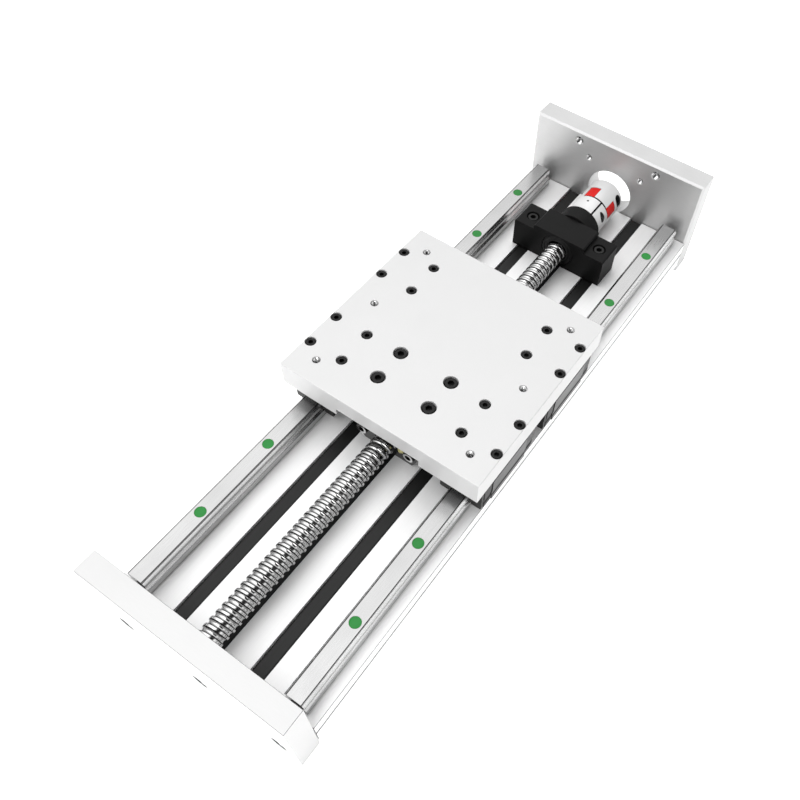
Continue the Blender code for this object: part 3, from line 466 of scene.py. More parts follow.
def prism(outline, low, high, matrix=ALONG_X, builder=None):
    """A flat outline extruded along local Z, which is world X unless a matrix says otherwise."""
    builder = bmesh.new() if builder is None else builder
    ends = []
    for level in (low, high):
        ends.append([builder.verts.new(matrix @ Vector((*point, level))) for point in outline])
    count = len(outline)
    for index in range(count):
        following = (index + 1) % count
        builder.faces.new([ends[0][index], ends[0][following], ends[1][following], ends[1][index]])
    builder.faces.new(ends[0])
    builder.faces.new(ends[1])
    bmesh.ops.recalc_face_normals(builder, faces=builder.faces)
    return builder


def block(low, high, matrix=Matrix(), builder=None):
    builder = bmesh.new() if builder is None else builder
    size = [top - bottom for bottom, top in zip(low, high)]
    middle = [(top + bottom) / 2 for bottom, top in zip(low, high)]
    place = matrix @ Matrix.Translation(middle) @ Matrix.Diagonal((*size, 1))
    bmesh.ops.create_cube(builder, size=1, matrix=place)
    return builder


def linked_object(name, data):
    made = bpy.data.objects.new(name, data)
    bpy.context.scene.collection.objects.link(made)
    return made


def new_object(name, builder):
    """An object with the builder's mesh, which uses the builder up."""
    mesh = bpy.data.meshes.new(name)
    builder.to_mesh(mesh)
    builder.free()
    return linked_object(name, mesh)


def settled(piece):
    """Apply an object's modifiers to its mesh."""
    bpy.context.view_layer.update()
    graph = bpy.context.evaluated_depsgraph_get()
    mesh = bpy.data.meshes.new_from_object(piece.evaluated_get(graph))
    piece.modifiers.clear()
    piece.data = mesh


def cut(piece, cutter_builder, operation="DIFFERENCE"):
    """Cut or join a piece with a closed shape, which isn't kept."""
    cutter = new_object("cutter", cutter_builder)
    boolean = piece.modifiers.new("cut", "BOOLEAN")
    boolean.operation = operation
    boolean.object = cutter
    settled(piece)
    bpy.data.objects.remove(cutter)


def shade_by_angle(piece, angle):
    piece.data.shade_smooth()
    piece.data.set_sharp_from_angle(angle=radians(angle))


def soften(piece, width, segments=2, angle=30):
    """Break the sharp edges, unless the width is 0, and shade the piece as machined metal."""
    if width:
        bevel = piece.modifiers.new("edges", "BEVEL")
        bevel.width = width
        bevel.segments = segments
        bevel.limit_method = "ANGLE"
        bevel.angle_limit = radians(angle)
        bevel.use_clamp_overlap = True
        settled(piece)
    shade_by_angle(piece, angle)
    weighting = piece.modifiers.new("normals", "WEIGHTED_NORMAL")
    weighting.keep_sharp = True
    settled(piece)


def dress(piece, material, body, nodes=()):
    """Give a piece its finish, its body and the CAD nodes that it stands for."""
    piece.data.materials.clear()
    piece.data.materials.append(MATERIALS[material])
    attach(piece, body)
    if nodes:
        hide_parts(*nodes)


def add_piece(name, builder, edge, material, body, nodes=(), cutters=()):
    """A piece cut by some closed shapes, with its edges broken, and dressed."""
    piece = new_object(name, builder)
    for cutter in cutters:
        cut(piece, cutter)
    soften(piece, edge)
    dress(piece, material, body, nodes)


def arc(radius, start, end, count):
    """Points in the YZ plane round the screw's axis, with angles in degrees from +Z towards +Y."""
    points = []
    for index in range(count + 1):
        angle = radians(start + (end - start) * index / count)
        points.append((radius * sin(angle), AXIS_Z + radius * cos(angle)))
    return points


def raised(outline, foot=0.0):
    """An outline or profile in mm, as metres over a foot."""
    return [(across * MM, foot + up * MM) for across, up in outline]


def mirrored(half, middle=0.0):
    right = [(middle + across, up) for across, up in half]
    left = [(middle - across, up) for across, up in reversed(half)]
    return right + left


def side_name(sign):
    return "left" if sign > 0 else "right"


def middle_of(name):
    low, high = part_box(name)
    return Vector([(a + b) / 2 for a, b in zip(low, high)])


def nodes_named(prefix):
    return sorted(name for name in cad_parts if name.startswith(prefix))


def above(name, height):
    """The place at a height over the middle of a node."""
    return at((*middle_of(name).xy, height))


def turned(angle, axis):
    return Matrix.Rotation(radians(angle), 4, axis)


def at(place):
    return Matrix.Translation(place)


def hole_profile(radius, depth, rim=EDGE):
    """A blind hole from local Z 0 downwards, with a broken rim and a drill point."""
    return [(0, MARGIN), (radius + rim + MARGIN, MARGIN), (radius, -rim), (radius, -depth),
            (0, -depth - radius / 2)]


def stepped_profile(sizes, length, rim=EDGE):
    """A counterbored through hole from local Z 0 downwards."""
    head, depth, hole = sizes
    return [
        (0, MARGIN), (head + rim + MARGIN, MARGIN), (head, -rim), (head, -depth),
        (hole, -depth), (hole, -length - MARGIN), (0, -length - MARGIN),
    ]


# ---- screws

def socket_screw(name, kind, matrix, body, nodes=(), knurls=KNURLS, material="bolt"):
    """A socket head screw: knurled head, hexagon socket and threaded shank, head seat at the origin."""
    head, height, shank, length, key, depth = SCREWS[kind]
    rim = 0.12 * head
    step = 0.35 * MM
    shank_points = []
    for index in range(int(length / (2 * step))):
        level = -2 * step * index
        shank_points += [(shank, level - step * 0.5), (shank * 0.9, level - step * 1.5)]
    builder = lathe([
        (0, height), (head - rim, height), (head - rim * 0.35, height - rim * 0.35), (head, height - rim),
        (head, 0.08 * height), (head - 0.06 * head, 0), (shank, 0), *shank_points,
        (shank * 0.8, -length), (0, -length),
    ], sides=2 * knurls)
    for vertex in builder.verts:
        radius = hypot(vertex.co.x, vertex.co.y)
        if abs(radius - head) < 1e-6:
            turn = round(atan2(vertex.co.y, vertex.co.x) / (pi / knurls))
            if turn % 2:
                vertex.co.xy *= 1 - 0.12 * MM / head
    piece = new_object(name, builder)
    key_radius = key / sqrt(3)
    corners = [radians(60 * corner) for corner in range(6)]
    hexagon = [(key_radius * cos(corner), key_radius * sin(corner)) for corner in corners]
    cut(piece, prism(hexagon, height - depth, height + MARGIN, Matrix()))
    piece.data.transform(matrix)
    soften(piece, 0.08 * MM, 1, 40)
    dress(piece, material, body, nodes)


def add_screws(prefix, kind, body, head_height, turn_of):
    """The heads of the upright screws with a name, each turned its own way."""
    for name in nodes_named(prefix):
        seat = above(name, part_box(name)[1][2] - head_height)
        socket_screw(f"{name}_head", kind, seat @ turned(turn_of(name), "Z"), body, [name])


def add_table_screws():
    add_screws("table_screw_", "table", "table", 4 * MM, lambda name: 37 * len(name) + 23 * int(name[-1]))
    add_screws("nut_housing_screw_", "housing", "table", 5 * MM, lambda name: 41 * int(name[-1]))


def add_plate_screws():
    """The screws that hold both end plates to the base."""
    depth = PLATE_COUNTERBORE[1] - 0.3 * MM
    ends = {"front": (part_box("front_plate")[0][0], -1), "motor": (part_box("motor_plate")[1][0], 1)}
    for end, (face, outward) in ends.items():
        for number, across in enumerate(PLATE_SCREW_Y, 1):
            seat = at((face - outward * depth, across, PLATE_SCREW_Z))
            socket_screw(f"{end}_plate_screw_{number}", "plate", seat @ turned(outward * 90, "Y"), "frame")


# ---- table

def add_table():
    """Its edges are broken before its holes are cut, which would hold the bevel back."""
    low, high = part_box("table_plate")
    half_width, depth = CHANNEL
    middle_x = (low[0] + high[0]) / 2
    outline = [
        (low[1], low[2]), (-half_width, low[2]), (-half_width, low[2] + depth), (half_width, low[2] + depth),
        (half_width, low[2]), (high[1], low[2]), (high[1], high[2]), (low[1], high[2]),
    ]
    table = new_object("table_top", prism(outline, low[0], high[0]))
    soften(table, 0.45 * MM)
    holes = bmesh.new()
    for prefix, sizes in TABLE_COUNTERBORES.items():
        for name in nodes_named(prefix + "_"):
            lathe(stepped_profile(sizes, high[2] - low[2]), above(name, high[2]), builder=holes)
    for step in (-1, 0, 1):
        for side in (-1, 1):
            place = at((middle_x + step * TAPPED_PITCH, side * TAPPED_Y, high[2]))
            lathe(hole_profile(*TAPPED_HOLE, 0.4 * MM), place, builder=holes)
            add_thread(f"table_thread_{step + 2}_{side_name(side)}", place, *TAPPED_HOLE, "table")
    cut(table, holes)
    soften(table, 0)
    dress(table, "table", "table", ["table_plate"])


def add_thread(name, place, radius, depth, body):
    """The crests of a tapped hole, as a ring with a saw profile inside it."""
    first = 0.8 * MM
    root = radius - 0.05 * MM
    profile = [(radius, -first)]
    for turn in range(int((depth - 2 * first) / THREAD_PITCH)):
        level = -first - turn * THREAD_PITCH
        profile += [(root, level - 0.1 * MM), (radius - THREAD_DEPTH, level - THREAD_PITCH / 2)]
    profile += [(root, -depth + first / 2), (radius, -depth + first / 2)]
    piece = new_object(name, lathe(profile, place, closed=True))
    shade_by_angle(piece, 35)
    dress(piece, "zinc", body)


def flange_places():
    return [at((0, side * FLANGE_SCREW_Y, 0)) @ ON_AXIS for side in (-1, 1)]


def add_nut_housing():
    low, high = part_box("nut_housing")
    bore = lathe(rod(HOUSING_BORE, low[0] - MARGIN, high[0] + MARGIN), ON_AXIS, ROUND)
    for place in flange_places():
        lathe(rod(FLANGE_HOLE, low[0] - MARGIN, low[0] + FLANGE_THREAD), place, builder=bore)
    threads = bmesh.new()
    for name in nodes_named("nut_housing_screw_"):
        lathe(hole_profile(*HOUSING_THREAD), above(name, high[2]), builder=threads)
    add_piece("nut_bracket", block(low, high), 0.5 * MM, "carriage", "table",
              ["nut_housing"], [bore, threads])


def add_ball_nut():
    """The flange, cut flat above the base and under the table, with its barrel, wiper, plug and screws."""
    low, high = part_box("ball_nut")
    face = low[0]
    flange_rear = face + FLANGE_THICKNESS
    start, end = [degrees(acos((level - AXIS_Z) / FLANGE_RADIUS)) for level in (high[2], low[2])]
    side = arc(FLANGE_RADIUS, end, start, 24)
    outline = side + [(-y, z) for y, z in reversed(side)]
    nut = new_object("nut_body", prism(outline, face, flange_rear))
    barrel = [(0, flange_rear - MM), (NUT_RADIUS, flange_rear - MM), (NUT_RADIUS, high[0] - MM),
              (NUT_RADIUS - MM, high[0]), (0, high[0])]
    cut(nut, lathe(barrel, ON_AXIS, ROUND), "UNION")
    seat_radius, seat_depth = WIPER_SEAT
    front = face - MARGIN
    bore = [(0, front), (seat_radius, front), (seat_radius, face + seat_depth),
            (NUT_BORE, face + seat_depth), (NUT_BORE, high[0] + MARGIN), (0, high[0] + MARGIN)]
    holes = lathe(bore, ON_AXIS, ROUND)
    for place in flange_places():
        lathe(rod(FLANGE_HOLE, front, flange_rear + MARGIN), place, builder=holes)
    cut(nut, holes)
    soften(nut, 0.4 * MM)
    dress(nut, "nut", "table", ["ball_nut"])

    wiper = raised([(10.6, 0.2), (8.6, 0.2), (8.3, 0.6), (8.3, 1.1), (10.6, 1.1)], face)
    add_piece("nut_wiper", lathe(wiper, ON_AXIS, ROUND, True), 0, "cap", "table")

    across, up = PLUG_PLACE
    plug = raised([(0, -4.2), (1.2, -4.2), (2.2, -3.4), (2.2, 2), (0, 2)])
    place = at((face, across, AXIS_Z + up)) @ ALONG_X
    add_piece("nut_oil_plug", lathe(plug, place), 0, "brass", "table")

    for name in nodes_named("nut_flange_screw_"):
        seat = at((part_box(name)[0][0] + 3.1 * MM, *middle_of(name).yz))
        socket_screw(f"{name}_head", "flange", seat @ turned(-90, "Y") @ turned(12, "Z"), "table", [name],
                     material="flange_screw")


# ---- base and end plates

def add_base():
    low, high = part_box("base_plate")
    groove, depth, height = SIDE_GROOVE
    right = [(high[1], low[2]), (high[1], height - groove / 2), (high[1] - depth, height - groove / 2),
             (high[1] - depth, height + groove / 2), (high[1], height + groove / 2), (high[1], high[2])]
    outline = list(right)
    slot = raised([(5, 0), (5, -4), (8, -4), (8, -10)], high[2])
    for centre in SLOT_CENTRES:
        outline += mirrored(slot, centre)
    outline += [(-y, z) for y, z in reversed(right)]
    channels = bmesh.new()
    for across in PLATE_SCREW_Y:
        place = at((0, across, PLATE_SCREW_Z)) @ ALONG_X
        lathe(rod(PLATE_COUNTERBORE[2], low[0] - MARGIN, high[0] + MARGIN), place, builder=channels)
    add_piece("base_extrusion", prism(outline, low[0], high[0]), 0.3 * MM, "base", "frame",
              ["base_plate"], [channels])


def add_strips():
    """The strips' edges are shelves a little below a narrower top, darkened with painted shade."""
    for name in nodes_named("slot_strip_"):
        low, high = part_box(name)
        centre = (low[1] + high[1]) / 2
        edge = high[1] - centre
        foot = [(3.6 * MM, low[2]), (edge, low[2]), (edge, low[2] + 0.9 * MM), (4.7 * MM, low[2] + 0.9 * MM)]
        top = [(4.7, -0.6), (4.1, -0.5), (4.05, -0.1), (3.95, 0), (3.7, -0.08)]
        half = raised([(3.6, -1.4)], high[2]) + foot + raised(top, high[2])
        add_piece(f"{name}_cover", prism(mirrored(half, centre), low[0], high[0]), 0, "strip", "frame",
                  [name])


def plate_holes(name, outward):
    """The counterbored holes for the screws into the base, through an end plate."""
    low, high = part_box(name)
    face = high[0] if outward > 0 else low[0]
    builder = bmesh.new()
    for across in PLATE_SCREW_Y:
        place = at((face, across, PLATE_SCREW_Z)) @ turned(outward * 90, "Y")
        lathe(stepped_profile(PLATE_COUNTERBORE, high[0] - low[0]), place, builder=builder)
    return builder


def add_front_plate():
    low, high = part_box("front_plate")
    radius, depth = FRONT_SEAT
    seat = lathe(rod(radius, high[0] + MARGIN, high[0] - depth), ON_AXIS, ROUND)
    add_piece("front_end_plate", block(low, high), 0.8 * MM, "front", "frame",
              ["front_plate"], [plate_holes("front_plate", -1), seat])


def is_inner_edge(edge, inner_x):
    middle = (edge.verts[0].co + edge.verts[1].co) / 2
    return abs(middle.x - inner_x) < MM / 10 and middle.z > MM


def through_hole(radius, length, rim):
    """A hole from local Z 0 upwards, with a broken rim."""
    return [(0, -MARGIN), (radius + rim + MARGIN, -MARGIN), (radius, rim),
            (radius, length + MARGIN), (0, length + MARGIN)]


def add_motor_plate():
    low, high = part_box("motor_plate")
    builder = block(low, high)
    edges = [edge for edge in builder.edges if is_inner_edge(edge, low[0])]
    bmesh.ops.bevel(builder, geom=edges, offset=MOTOR_CHAMFER, segments=1, affect="EDGES")
    plate = new_object("motor_end_plate", builder)
    cut(plate, plate_holes("motor_plate", 1))
    thickness = high[0] - low[0]
    rim = 0.3 * MM
    bore = through_hole(MOTOR_BORE_RADIUS, thickness, rim)
    holes = lathe(bore, at((low[0], 0, 0)) @ ON_AXIS, BORE_ROUND)
    for side, radius in MOTOR_HOLES.items():
        for y_sign in (-1, 1):
            for z_sign in (-1, 1):
                place = at((low[0], y_sign * side / 2, z_sign * side / 2)) @ ON_AXIS
                lathe(through_hole(radius, thickness, rim), place, builder=holes)
                level = "top" if z_sign > 0 else "bottom"
                name = f"motor_thread_{side / MM:.0f}_{side_name(y_sign)}_{level}"
                add_thread(name, place @ turned(180, "X"), radius, thickness, "frame")
    cut(plate, holes)
    soften(plate, EDGE)
    dress(plate, "plate", "frame", ["motor_plate"])


# ---- rails and carriages

def add_rails():
    for name in nodes_named("rail_"):
        low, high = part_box(name)
        centre = (low[1] + high[1]) / 2
        half = raised(RAIL_HALF, high[2] - RAIL_HEIGHT)
        rail = new_object(f"{name}_ground", prism(mirrored(half, centre), low[0], high[0]))
        holes = bmesh.new()
        for number, place_x in enumerate(RAIL_HOLES_X, 1):
            place = at((place_x * MM, centre, high[2]))
            lathe(stepped_profile(RAIL_COUNTERBORE, RAIL_HEIGHT, 0.08 * MM), place, builder=holes)
            add_rail_screw_and_cap(name, place, number)
        cut(rail, holes)
        soften(rail, 0.12 * MM, 1, 35)
        dress(rail, "rail", "frame", [name])


def add_rail_screw_and_cap(rail, place, number):
    add_piece(f"{rail}_cap_{number}", lathe(raised(CAP_PROFILE), place), 0, "green", "frame")
    seat = place @ at((0, 0, -RAIL_COUNTERBORE[1] + 0.2 * MM))
    socket_screw(f"{rail}_screw_{number}", "rail", seat, "frame", knurls=FEW_KNURLS)


def carriage_half(outer, bottom, top, waist):
    """The +Y half of a carriage section: the rail's channel, then the outside with its side groove."""
    channel = raised(CARRIAGE_CHANNEL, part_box("rail_left")[1][2] - RAIL_HEIGHT)
    inside = [(across, max(up, bottom)) for across, up in channel]
    outside = [
        (outer - 0.8 * MM, bottom), (outer, bottom + 0.8 * MM), (outer, bottom + 5.2 * MM),
        (outer - waist, bottom + 6 * MM), (outer - waist, bottom + 9 * MM), (outer, bottom + 9.8 * MM),
        (outer, top - 1.2 * MM), (outer - 1.2 * MM, top),
    ]
    return list(reversed(inside)) + outside


def add_carriages():
    for name in nodes_named("carriage_"):
        low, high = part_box(name)
        centre = (low[1] + high[1]) / 2
        outer = high[1] - centre
        if not name.endswith("_body"):
            add_end_cap(name, low, high, centre, outer)
            continue
        half = carriage_half(outer, low[2], high[2], 0.5 * MM)
        threads = bmesh.new()
        for screw in nodes_named("table_screw_" + name[len("carriage_"):-len("_body")]):
            lathe(hole_profile(2.3 * MM, 5 * MM, 0.1 * MM), above(screw, high[2]), builder=threads)
        add_piece(f"{name}_block", prism(mirrored(half, centre), low[0], high[0]), 0.2 * MM, "carriage",
                  "table", [name], [threads])


def add_end_cap(name, low, high, centre, outer):
    """A moulded cap and its thin outer seal plate, with the two screws that hold them."""
    outward = 1 if name.endswith("rear_cap") else -1
    inner_x, outer_x = (low[0], high[0]) if outward > 0 else (high[0], low[0])
    seal_x = outer_x - outward * SEAL_THICKNESS
    half = carriage_half(outer, low[2], high[2], 0.7 * MM)
    moulding_x = sorted((inner_x, seal_x - outward * 0.25 * MM))
    add_piece(f"{name}_moulding", prism(mirrored(half, centre), *moulding_x), 0.5 * MM, "cap", "table",
              [name])
    half = carriage_half(outer - 0.5 * MM, low[2] + 0.3 * MM, high[2] - 0.5 * MM, 0.2 * MM)
    add_piece(f"{name}_seal", prism(mirrored(half, centre), *sorted((seal_x, outer_x))), EDGE, "cap", "table")
    profile = raised([(0, 0.8), (0.6, 0.8), (1.4, 0.5), (1.6, 0), (1.6, -0.5), (0, -0.5)])
    for side in (-1, 1):
        place = at((outer_x - outward * 0.9 * MM, centre + side * 12.3 * MM, high[2] - 6.5 * MM))
        screw = lathe(profile, place @ turned(outward * 90, "Y"), 24)
        add_piece(f"{name}_screw_{side_name(side)}", screw, 0, "bolt", "table")


# ---- ball screw

def groove_radius(offset):
    """The shaft's radius at a distance along X from the middle of its groove."""
    reach = sqrt(GROOVE_RADIUS ** 2 - (GROOVE_RADIUS - GROOVE_DEPTH) ** 2)
    distance = abs(offset)
    if distance < reach:
        sagitta = sqrt(GROOVE_RADIUS ** 2 - distance ** 2) - (GROOVE_RADIUS - GROOVE_DEPTH)
        return SCREW_RADIUS - sagitta
    return SCREW_RADIUS - max(0.0, LAND_EDGE - (distance - reach)) * 0.8


def thread_mesh(start, end):
    """Threaded length as a skewed grid whose rows follow the right-hand helix."""
    step = SCREW_LEAD / THREAD_STEPS
    rows = int((end - start) / step) + THREAD_STEPS + 2
    builder = bmesh.new()
    grid = []
    for row in range(rows):
        ring = []
        offset = ((row * step + SCREW_LEAD / 2) % SCREW_LEAD) - SCREW_LEAD / 2
        radius = groove_radius(offset)
        for side in range(THREAD_SIDES):
            turn = side / THREAD_SIDES
            along = start + (row - THREAD_STEPS + turn * THREAD_STEPS) * step
            place = min(max(along, start), end)
            angle = 2 * pi * turn
            point = (place, radius * cos(angle), AXIS_Z + radius * sin(angle))
            ring.append(builder.verts.new(point))
        grid.append(ring)
    for row, (ring, next_ring) in enumerate(zip(grid, grid[1:])):
        for side in range(THREAD_SIDES):
            ahead = row + THREAD_STEPS
            if side + 1 < THREAD_SIDES:
                corners = [ring[side], ring[side + 1], next_ring[side + 1], next_ring[side]]
            elif ahead + 1 < rows:
                corners = [grid[ahead][0], grid[ahead + 1][0], next_ring[side], ring[side]]
            else:
                continue
            if len({round(corner.co.x, 7) for corner in corners}) > 1:
                builder.faces.new(corners)
    bmesh.ops.remove_doubles(builder, verts=builder.verts, dist=1e-6)
    bmesh.ops.dissolve_degenerate(builder, dist=1e-6, edges=builder.edges)
    bmesh.ops.holes_fill(builder, edges=builder.edges, sides=0)
    loose = [vertex for vertex in builder.verts if not vertex.link_faces]
    bmesh.ops.delete(builder, geom=loose, context="VERTS")
    bmesh.ops.recalc_face_normals(builder, faces=builder.faces)
    return builder


def add_ball_screw():
    low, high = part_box("ball_screw")
    start, end = low[0] + 6.1 * MM, THREAD_END
    thread = new_object("screw_thread", thread_mesh(start, end))
    shade_by_angle(thread, 32)
    dress(thread, "thread", "screw", ["ball_screw"])
    radius = JOURNAL_RADIUS
    journals = {
        "front": [(0, low[0]), (radius - 0.5 * MM, low[0]), (radius, low[0] + 0.5 * MM),
                  (radius, start + MM), (0, start + MM)],
        "rear": [(0, end - MM), (6 * MM, end - MM), (6 * MM, 182.2 * MM), (5.6 * MM, 182.6 * MM),
                 (radius, 182.6 * MM), (radius, high[0] - 0.6 * MM), (4.4 * MM, high[0]), (0, high[0])],
    }
    for place, profile in journals.items():
        add_piece(f"screw_{place}_journal", lathe(profile, ON_AXIS), 0, "screw", "screw")


def add_bearings():
    """Inner ring, outer ring and shield of each bearing, inside its CAD ring."""
    for name in ["front_bearing", *nodes_named("support_bearing_")]:
        low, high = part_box(name)
        outer = (high[1] - low[1]) / 2
        bore = 5.3 * MM if name == "front_bearing" else 6.3 * MM
        thick = (outer - bore) * 0.27
        gap = 0.05 * MM
        rings = {  # inner and outer radius, inset of its ends, and finish
            "outer_ring": (outer - thick, outer, 0, "screw"),
            "inner_ring": (bore, bore + thick, 0, "screw"),
            "shield": (bore + thick + gap, outer - thick - gap, 0.4 * MM, "nut"),
        }
        for kind, (inside, outside, inset, finish) in rings.items():
            profile = [(outside, high[0] - inset), (outside, low[0] + inset), (inside, low[0] + inset),
                       (inside, high[0] - inset)]
            add_piece(f"{name}_{kind}", lathe(profile, ON_AXIS, ROUND, True), 0.2 * MM, finish, "frame",
                      [name] if kind == "outer_ring" else ())


# ---- support block

def add_support_block():
    low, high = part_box("support_block")
    half = [
        (high[1], low[2]), (high[1], BLOCK_SHOULDER - BLOCK_CHAMFER),
        (high[1] - BLOCK_CHAMFER, BLOCK_SHOULDER), (BLOCK_CROWN, BLOCK_SHOULDER),
        (BLOCK_CROWN, high[2] - BLOCK_CHAMFER), (BLOCK_CROWN - BLOCK_CHAMFER, high[2]),
    ]
    seal, clearance, bearing = BLOCK_BORES
    bore = [
        (0, low[0] - MARGIN), (seal, low[0] - MARGIN), (seal, low[0] + 2 * MM),
        (clearance, low[0] + 2 * MM), (clearance, BEARING_SEAT_X), (bearing, BEARING_SEAT_X),
        (bearing, high[0] + MARGIN), (0, high[0] + MARGIN),
    ]
    holes = bmesh.new()
    for name in nodes_named("support_block_screw_"):
        profile = stepped_profile(BLOCK_COUNTERBORE, BLOCK_SHOULDER - low[2])
        lathe(profile, above(name, BLOCK_SHOULDER), builder=holes)
    add_piece("screw_support", prism(mirrored(half), low[0], high[0]), 0.3 * MM, "oxide", "frame",
              ["support_block"], [lathe(bore, ON_AXIS, ROUND), holes])
    add_screws("support_block_screw_", "block", "frame", 5 * MM, lambda name: 31 * int(name[-1]))


def add_seal():
    """A pressed ring with a raised rim and a soft lip, in front of the support block."""
    low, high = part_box("screw_seal")
    outer = (high[1] - low[1]) / 2
    rim = [(outer, high[0]), (outer, low[0] + 0.3 * MM), (outer - 0.3 * MM, low[0]),
           (outer - 1.6 * MM, low[0]), (outer - 1.9 * MM, low[0] + 0.5 * MM)]
    lip = raised([(9.6, 0.5), (9.2, 0.1), (8.5, 0.3), (8.4, 0.9)], low[0])
    profile = rim + lip + [(8.8 * MM, high[0])]
    add_piece("screw_seal_ring", lathe(profile, ON_AXIS, ROUND, True), 0, "cap", "frame",
              ["screw_seal"])


def add_bearing_cover():
    """A disc cut flat at its foot, with a spigot in the block's bearing seat."""
    low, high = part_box("bearing_cover")
    flat = degrees(acos((low[2] - AXIS_Z) / COVER_RADIUS))
    cover = new_object("rear_cover", prism(arc(COVER_RADIUS, -flat, flat, 72), COVER_FRONT, high[0]))
    cut(cover, lathe(rod(12 * MM, low[0], COVER_FRONT + MARGIN), ON_AXIS, ROUND), "UNION")
    step = COVER_FRONT + 4 * MM
    bore = [
        (0, low[0] - MARGIN), (10 * MM, low[0] - MARGIN), (10 * MM, step), (12.9 * MM, step),
        (12.9 * MM, high[0] + MARGIN), (0, high[0] + MARGIN),
    ]
    cut(cover, lathe(bore, ON_AXIS, ROUND))
    soften(cover, 0.4 * MM)
    dress(cover, "oxide", "frame", ["bearing_cover"])


def add_lock_nut():
    low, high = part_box("lock_nut")
    head = (high[1] - low[1]) / 2 + 0.1 * MM
    step = LOCK_NUT_HEAD_X
    profile = [
        (head - 0.8 * MM, high[0]), (head, high[0] - 0.8 * MM), (head, step + 0.4 * MM),
        (head - 0.4 * MM, step), (8.5 * MM, step), (8.5 * MM, low[0]), (6.3 * MM, low[0]),
        (6.3 * MM, high[0]),
    ]
    slots = bmesh.new()
    for number in range(4):
        block((step - MM, -2 * MM, head - 2 * MM), (high[0] + MARGIN, 2 * MM, head + MARGIN),
              Matrix.Translation(AXIS) @ turned(number * 90, "X"), slots)
    add_piece("slotted_nut", lathe(profile, ON_AXIS, ROUND, True), 0.2 * MM, "cover", "screw",
              ["lock_nut"], [slots])


# ---- coupling

def clamp_matrix(kind):
    """Local X along the slit's direction, local Z across the slit towards the clamp screw's head."""
    angle = radians(SLIT_ANGLES[kind])
    outward = Vector((0, sin(angle), cos(angle)))
    across = Vector((0, -cos(angle), sin(angle))) * HEAD_SIDES[kind]
    turn = Matrix((outward, across.cross(outward), across)).transposed().to_4x4()
    return at((middle_of(f"clamp_screw_{kind}").x, 0, AXIS_Z)) @ turn


def jaw_outline(middle):
    half = (360 / LEG_COUNT - LEG_WIDTH) / 2 - JAW_CLEARANCE
    outside = arc(HUB_RADIUS, middle - half, middle + half, 16)
    return outside + arc(JAW_INNER_RADIUS, middle + half, middle - half, 10)


def add_hub(kind, first_jaw):
    """A turned hub with two jaws, a clamp slit and its screw's hole, flat shaded for clean faces."""
    name = f"coupling_hub_{kind}"
    low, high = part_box(name)
    bore = HUB_BORES[kind]
    motor_hub_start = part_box("coupling_hub_screw")[1][0] + JAW_END_GAP
    screw_hub_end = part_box("coupling_hub_motor")[0][0] - JAW_END_GAP
    if kind == "screw":
        start, end = low[0], screw_hub_end - SEAM
        jaws_x = (start + MM, motor_hub_start - JAW_END_GAP)
    else:
        start, end = motor_hub_start, high[0]
        jaws_x = (screw_hub_end + JAW_END_GAP, end - MM)
    edge = 0.5 * MM
    inside = [(bore + edge, start), (bore, start + edge), (bore, end - edge), (bore + edge, end)]
    if kind == "screw":
        outside = [(HUB_RADIUS, end), (HUB_RADIUS, start + edge), (HUB_RADIUS - edge, start)]
        profile = outside + inside
    else:
        outside = [(HUB_RADIUS, end - edge), (HUB_RADIUS, start)]
        profile = outside + inside + [(HUB_RADIUS - edge, end)]
    hub = new_object(f"{name}_turned", lathe(profile, ON_AXIS, HUB_ROUND, True))
    for number in range(2):
        cut(hub, prism(jaw_outline(first_jaw + 180 * number), *jaws_x), "UNION")
    place = clamp_matrix(kind)
    top = HUB_RADIUS + MARGIN
    reach = 2 * HUB_RADIUS
    cut(hub, block((0, -reach, -SLIT_WIDTH / 2), (top, reach, SLIT_WIDTH / 2), place))
    shank, head = CLAMP_RADII[kind]
    hole = [(0, top), (head, top), (head, CLAMP_SEAT), (shank, CLAMP_SEAT), (shank, CLAMP_END),
            (0, CLAMP_END)]
    cut(hub, lathe(hole, place @ at((CLAMP_OFFSET, 0, 0))))
    hub.data.shade_flat()
    dress(hub, "alloy", "screw", [name])
    seat = place @ at((CLAMP_OFFSET, 0, CLAMP_SEAT + 0.1 * MM))
    socket_screw(f"clamp_screw_{kind}_head", "clamp", seat, "screw", [f"clamp_screw_{kind}"], FEW_KNURLS)


def add_spider():
    low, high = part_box("coupling_spider")
    pitch = 360 / LEG_COUNT
    outline = []
    for number in range(LEG_COUNT):
        start = LEG_ANGLE + number * pitch - LEG_WIDTH / 2
        end = start + LEG_WIDTH
        outline += arc(HUB_RADIUS - 0.15 * MM, start, end, 10)
        outline += arc(SPIDER_CORE_RADIUS, end, start + pitch, 10)
    add_piece("red_spider", prism(outline, low[0], high[0]), 0.35 * MM, "spider", "screw",
              ["coupling_spider"])


def add_coupling():
    half_pitch = 180 / LEG_COUNT
    add_hub("screw", LEG_ANGLE + half_pitch)
    add_hub("motor", LEG_ANGLE - half_pitch)
    add_spider()


# ---- stage, light and camera

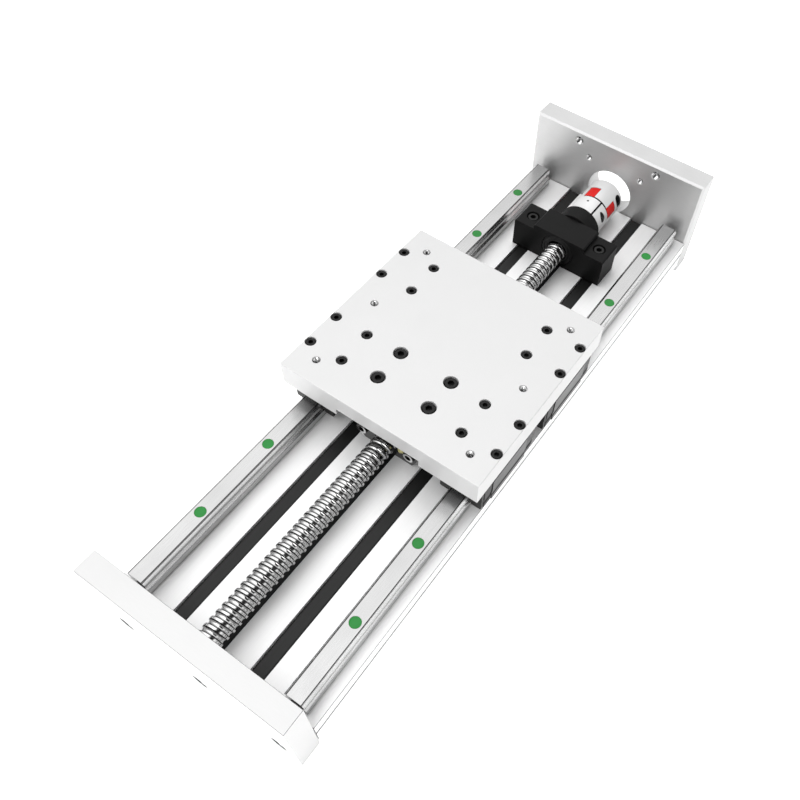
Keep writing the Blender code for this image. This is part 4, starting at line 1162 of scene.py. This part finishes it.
def add_floor():
    builder = bmesh.new()
    bmesh.ops.create_grid(builder, x_segments=1, y_segments=1, size=4)
    floor = new_object("floor", builder)
    material = bpy.data.materials.new("floor")
    material.use_nodes = True
    inputs = material.node_tree.nodes["Principled BSDF"].inputs
    inputs["Base Color"].default_value = (*triple(FLOOR_GREY), 1)
    inputs["Roughness"].default_value = 0.9
    inputs["Specular IOR Level"].default_value = 0.1
    inputs["Emission Color"].default_value = (1, 1, 1, 1)
    inputs["Emission Strength"].default_value = FLOOR_GLOW
    floor.data.materials.append(material)


def add_world():
    """A white dome, darker near the horizon and within the dark flags that polished metal reflects."""
    world = bpy.data.worlds.new("studio")
    bpy.context.scene.world = world
    world.use_nodes = True
    tree = world.node_tree
    background = tree.nodes["Background"]
    place = tree.nodes.new("ShaderNodeTexCoord").outputs["Generated"]
    level = map_range(tree, coordinates(tree, place)["Z"], (0.0, DOME_RISE), DOME_LEVELS).outputs["Result"]
    for direction, edges in FLAGS:
        toward = calculate_vector(tree, "DOT_PRODUCT", place, Vector(direction).normalized())
        flag = map_range(tree, toward, edges, (1.0, FLAG_LEVEL))
        flag.interpolation_type = "SMOOTHSTEP"
        level = calculate(tree, "MULTIPLY", level, flag.outputs["Result"])
    tree.links.new(level, background.inputs["Strength"])
    background.inputs["Color"].default_value = (1, 1, 1, 1)


def add_light(name, place, target, size, power):
    light = bpy.data.lights.new(name, "AREA")
    light.shape = "DISK"
    light.size = size
    light.energy = power
    lamp = linked_object(name, light)
    lamp.location = place
    lamp.rotation_euler = (Vector(target) - Vector(place)).to_track_quat("-Z", "Y").to_euler()


def add_camera():
    camera = linked_object("camera", bpy.data.cameras.new("camera"))
    camera.location = CAMERA_PLACE
    camera.rotation_euler = Euler([radians(angle) for angle in CAMERA_TURN], "XYZ")
    camera.data.lens = CAMERA_LENS
    camera.data.sensor_width = 36
    camera.data.shift_x, camera.data.shift_y = CAMERA_SHIFT
    camera.data.clip_start = 0.01
    bpy.context.scene.camera = camera


def main():
    add_table()
    add_nut_housing()
    add_ball_nut()
    add_table_screws()
    add_base()
    add_strips()
    add_front_plate()
    add_motor_plate()
    add_plate_screws()
    add_rails()
    add_carriages()
    add_ball_screw()
    add_bearings()
    add_support_block()
    add_seal()
    add_bearing_cover()
    add_lock_nut()
    add_coupling()
    add_floor()
    add_world()
    add_light("key", *KEY_LIGHT)
    add_light("fill", *FILL_LIGHT)
    add_camera()
    bpy.context.scene.view_settings.view_transform = "Standard"


MATERIALS = make_materials()
main()
